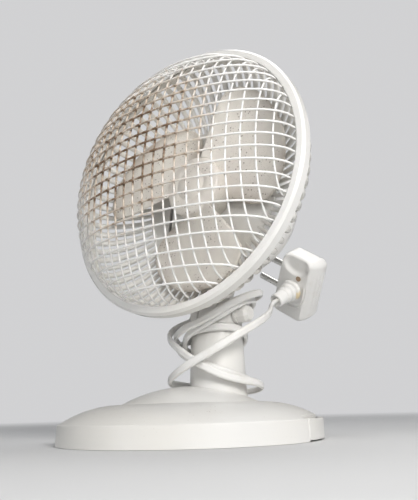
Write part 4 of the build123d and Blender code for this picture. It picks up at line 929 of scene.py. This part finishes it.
class CLIPFAN_OT_plug(ClipFanOperator, bpy.types.Operator):
    """Adds the moulded plug with its thumb scoop and ribs, and the ringed collar"""

    bl_idname = "clipfan.plug"
    bl_label = "Plug"

    CORNER_STEPS = 12
    LONG_STEPS = 60
    SHORT_STEPS = 36
    COLLAR_COLUMNS = 72

    def outline(self, width, depth, corner):
        """Rounded rectangle for arrays of width, depth and corner radius: straight runs and
        quarter circles in even steps, in the same order for every row."""
        rows = []
        for quarter in range(4):
            sign_x = (1, -1, -1, 1)[quarter]
            sign_y = (1, 1, -1, -1)[quarter]
            t = pi / 2 * (quarter + np.arange(self.CORNER_STEPS) / self.CORNER_STEPS)
            centre_x = sign_x * (width / 2 - corner)
            centre_y = sign_y * (depth / 2 - corner)
            rows.append(np.stack([centre_x + corner * np.cos(t), centre_y + corner * np.sin(t)],
                                 -1))
            if quarter % 2 == 0:
                run = np.arange(self.LONG_STEPS) / self.LONG_STEPS
                x = centre_x * (1 - 2 * run)
                y = sign_y * depth / 2 + 0 * run
            else:
                run = np.arange(self.SHORT_STEPS) / self.SHORT_STEPS
                x = sign_x * width / 2 + 0 * run
                y = centre_y * (1 - 2 * run)
            rows.append(np.stack(np.broadcast_arrays(x, y), -1))
        return np.concatenate(rows, 1)

    def rows(self, wide, deep, high):
        """Width, depth, corner radius and height of each outline: the face from its middle
        outwards, its rounded edge, the flank, the far edge, the far face."""
        grow = np.linspace(0.002, 1, 90)
        edge = np.linspace(0, pi / 2, 24)[1:]
        climb = np.linspace(5.0, high - 5.0, 20)[1:]
        shrink = 1 - grow[::6]
        width = [grow * (wide - 4), wide - 4 + 4 * np.sin(edge),
                 wide - 2 * (climb - 5) / (high - 10), wide - 10 + 8 * np.cos(edge),
                 (wide - 10) * shrink]
        depth = [grow * (deep - 3), deep - 3 + 3 * np.sin(edge), deep + 0 * climb,
                 deep - 6 + 6 * np.cos(edge), (deep - 6) * shrink]
        corner = [grow * 4.0, 4.0 + 0.6 * edge, 4.9 + 0 * climb, 4.9 - 0.3 * edge, 4.4 * shrink]
        z = [0 * grow, 5 - 5 * np.cos(edge), climb, high - 5 + 5 * np.sin(edge),
             high + 0 * shrink]
        return [np.concatenate(column) for column in (width, depth, corner, z)]

    def body(self, settings, plastic):
        """Stacked outlines. The lower flank leans and carries bars, the upper one is drawn in,
        and the face has a thumb scoop and ridges round the lower side of the collar."""
        wide = settings.plug_width / MM
        deep = settings.plug_depth / MM
        width, depth, corner, z = self.rows(wide, deep, settings.plug_height / MM)
        flat = self.outline(width[:, None], depth[:, None], corner[:, None])
        x, y = flat[..., 0], flat[..., 1]
        z = np.repeat(z[:, None], x.shape[1], 1)
        flank = np.clip((-y - (deep / 2 - 0.35)) / 0.3, 0, 1)
        # the lower flank starts nearer the collar and reaches its full depth at two thirds
        lean = 0.72 + 0.28 * np.sin(np.clip(z / 13.0, 0, 1) * pi / 2)
        drawn_in = 0.95 - 0.12 * np.clip(-x / (wide / 2), 0, 1) ** 2
        y = np.where(y < 0, y * lean, y * drawn_in)
        bars = hill(z, 7.2, 0.75, 4) + hill(z, 14.2, 0.6, 4)
        bars += hill(z, 10.9, 1.3, 4) * (0.5 + 0.5 * np.cos(x * 2 * pi / 2.4))
        y = y - flank * 0.6 * bars * hill(x, 0.0, 14.0, 12)
        face = np.clip(1 - z / 3.5, 0, 1)
        scoop = np.exp(-((((x + 20.5) / 7.6) ** 2 + ((y - 1.0) / 9.6) ** 2) ** 4))
        from_collar = (np.abs(x / 1.35) ** 3 + np.abs(y) ** 3) ** (1 / 3)
        lines = hill(from_collar, 9.2, 0.42, 2) + hill(from_collar, 10.9, 0.42, 2)
        lines *= 1 / (1 + np.exp(-(x + 7.0) / 0.6)) * 1 / (1 + np.exp(y / 1.2 - 4.0))
        z = z + face * (2.3 * scoop - 0.9 * lines)
        points = (plug_entry + x[..., None] * plug_across + y[..., None] * plug_depth
                  + z[..., None] * plug_axis).reshape(-1, 3)
        faces = grid_faces(len(width), x.shape[1])
        body = make_piece("moulded_plug", points, faces[:, ::-1], "neck", plastic)
        give_attribute(body, "stain", np.zeros(len(points)))
        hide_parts("plug_body")

    def collar(self, plastic):
        """Turned sleeve with three growing rings and a rounded lip at the cord."""
        profile = [(0.01, -19.6), (1.6, -19.7), (2.6, -20.1), (3.2, -20.9), (4.2, -21.0),
                   (4.7, -20.8), (5.0, -20.2), (5.0, -13.2)]
        for step in range(3):
            start = -4.2 * (3 - step)
            ring = 6.0 + step
            valley = 5.2 + 0.5 * step
            profile += [(ring - 0.8, start), (ring - 0.2, start + 0.2), (ring, start + 0.7),
                        (ring, start + 2.3), (ring - 0.2, start + 2.8), (ring - 0.8, start + 3.0),
                        (valley, start + 3.3), (valley, start + 4.0)]
        profile += [(7.0, 0.0)]
        columns = self.COLLAR_COLUMNS
        points, faces = turned(profile, plug_entry, plug_axis, plug_across, columns)
        collar = make_piece("ringed_collar", points, faces, "neck", plastic)
        # one yellow spot on the underside, close to the plug
        around = np.tile(np.linspace(0, 2 * pi, columns, endpoint=False), len(profile))
        heights = np.repeat(np.array(profile)[:, 1], columns)
        spot = np.exp(-(((heights + 3.0) / 2.0) ** 2) - ((around - 1.5 * pi) / 0.45) ** 2)
        give_attribute(collar, "stain", spot * 1.2 + 0.15)
        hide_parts("plug_collar")

    def execute(self, context):
        settings = context.scene.clip_fan
        plastic = stained_plastic("plug_plastic", settings.cord_colour)
        self.body(settings, plastic)
        self.collar(plastic)
        return {"FINISHED"}


class CLIPFAN_OT_finishes(ClipFanOperator, bpy.types.Operator):
    """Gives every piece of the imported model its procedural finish"""

    bl_idname = "clipfan.finishes"
    bl_label = "Finishes"

    def execute(self, context):
        settings = context.scene.clip_fan
        shell = settings.shell_colour
        groups = (
            (moulded_white("shell_plastic", shell, SHELL_YELLOW, 0.5, 0.26),
             "base_shell clip_jaw neck_column tilt_knob housing_front housing_rear"),
            (moulded_white("guard_plastic", shell, RING_YELLOW, 0.3, 0.2), "guard_ring"),
            (plain_metal("zinc_steel", (0.62, 0.62, 0.61), 0.32),
             "hinge_pin clip_spring neck_retainer retainer_screws tilt_bolt bracket_front "
             "bracket_rear bearings motor_screws pillar_screws motor_shaft"),
            (plain_metal("pin_nickel", (0.74, 0.73, 0.70), 0.24), "plug_pins"),
            (plain_matte("screw_brown", (0.36, 0.25, 0.16), 0.5), "plug_screw"),
            (plain_matte("pad_rubber", (0.30, 0.30, 0.30), 0.75), "upper_pad lower_pad"),
            (plain_matte("switch_black", (0.05, 0.05, 0.05), 0.35), "switch_frame switch_rocker"),
            (plain_matte("core_iron", (0.16, 0.15, 0.15), 0.55), "stator_core rotor_core"),
            (plain_matte("coil_copper", (0.45, 0.21, 0.10), 0.4), "motor_coil"),
            (cord_sheath("gland_sheath", settings.cord_colour), "cord_gland"),
        )
        for material, names in groups:
            for name in names.split():
                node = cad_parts[name]
                node.data.materials.clear()
                node.data.materials.append(material)
        return {"FINISHED"}


class CLIPFAN_PT_panel(bpy.types.Panel):
    """Lists the sizes and the pieces in the sidebar"""

    bl_idname = "CLIPFAN_PT_panel"
    bl_label = "Clip Fan"
    bl_space_type = "VIEW_3D"
    bl_region_type = "UI"
    bl_category = "Clip Fan"

    def draw(self, context):
        settings = context.scene.clip_fan
        for name in ClipFanSettings.__annotations__:
            self.layout.prop(settings, name)
        for operator in OPERATORS:
            self.layout.operator(operator.bl_idname)


OPERATORS = (CLIPFAN_OT_stage, CLIPFAN_OT_cord, CLIPFAN_OT_wires, CLIPFAN_OT_rear_guard,
             CLIPFAN_OT_blades, CLIPFAN_OT_plug, CLIPFAN_OT_finishes)
CLASSES = (ClipFanSettings,) + OPERATORS + (CLIPFAN_PT_panel,)


def register():
    for cls in CLASSES:
        bpy.utils.register_class(cls)
    bpy.types.Scene.clip_fan = PointerProperty(type=ClipFanSettings)


def unregister():
    del bpy.types.Scene.clip_fan
    for cls in reversed(CLASSES):
        bpy.utils.unregister_class(cls)


def main():
    register()
    bpy.ops.clipfan.stage()
    bpy.ops.clipfan.cord()
    bpy.ops.clipfan.wires()
    bpy.ops.clipfan.rear_guard()
    bpy.ops.clipfan.blades()
    bpy.ops.clipfan.plug()
    bpy.ops.clipfan.finishes()


if __name__ == "__main__":
    main()
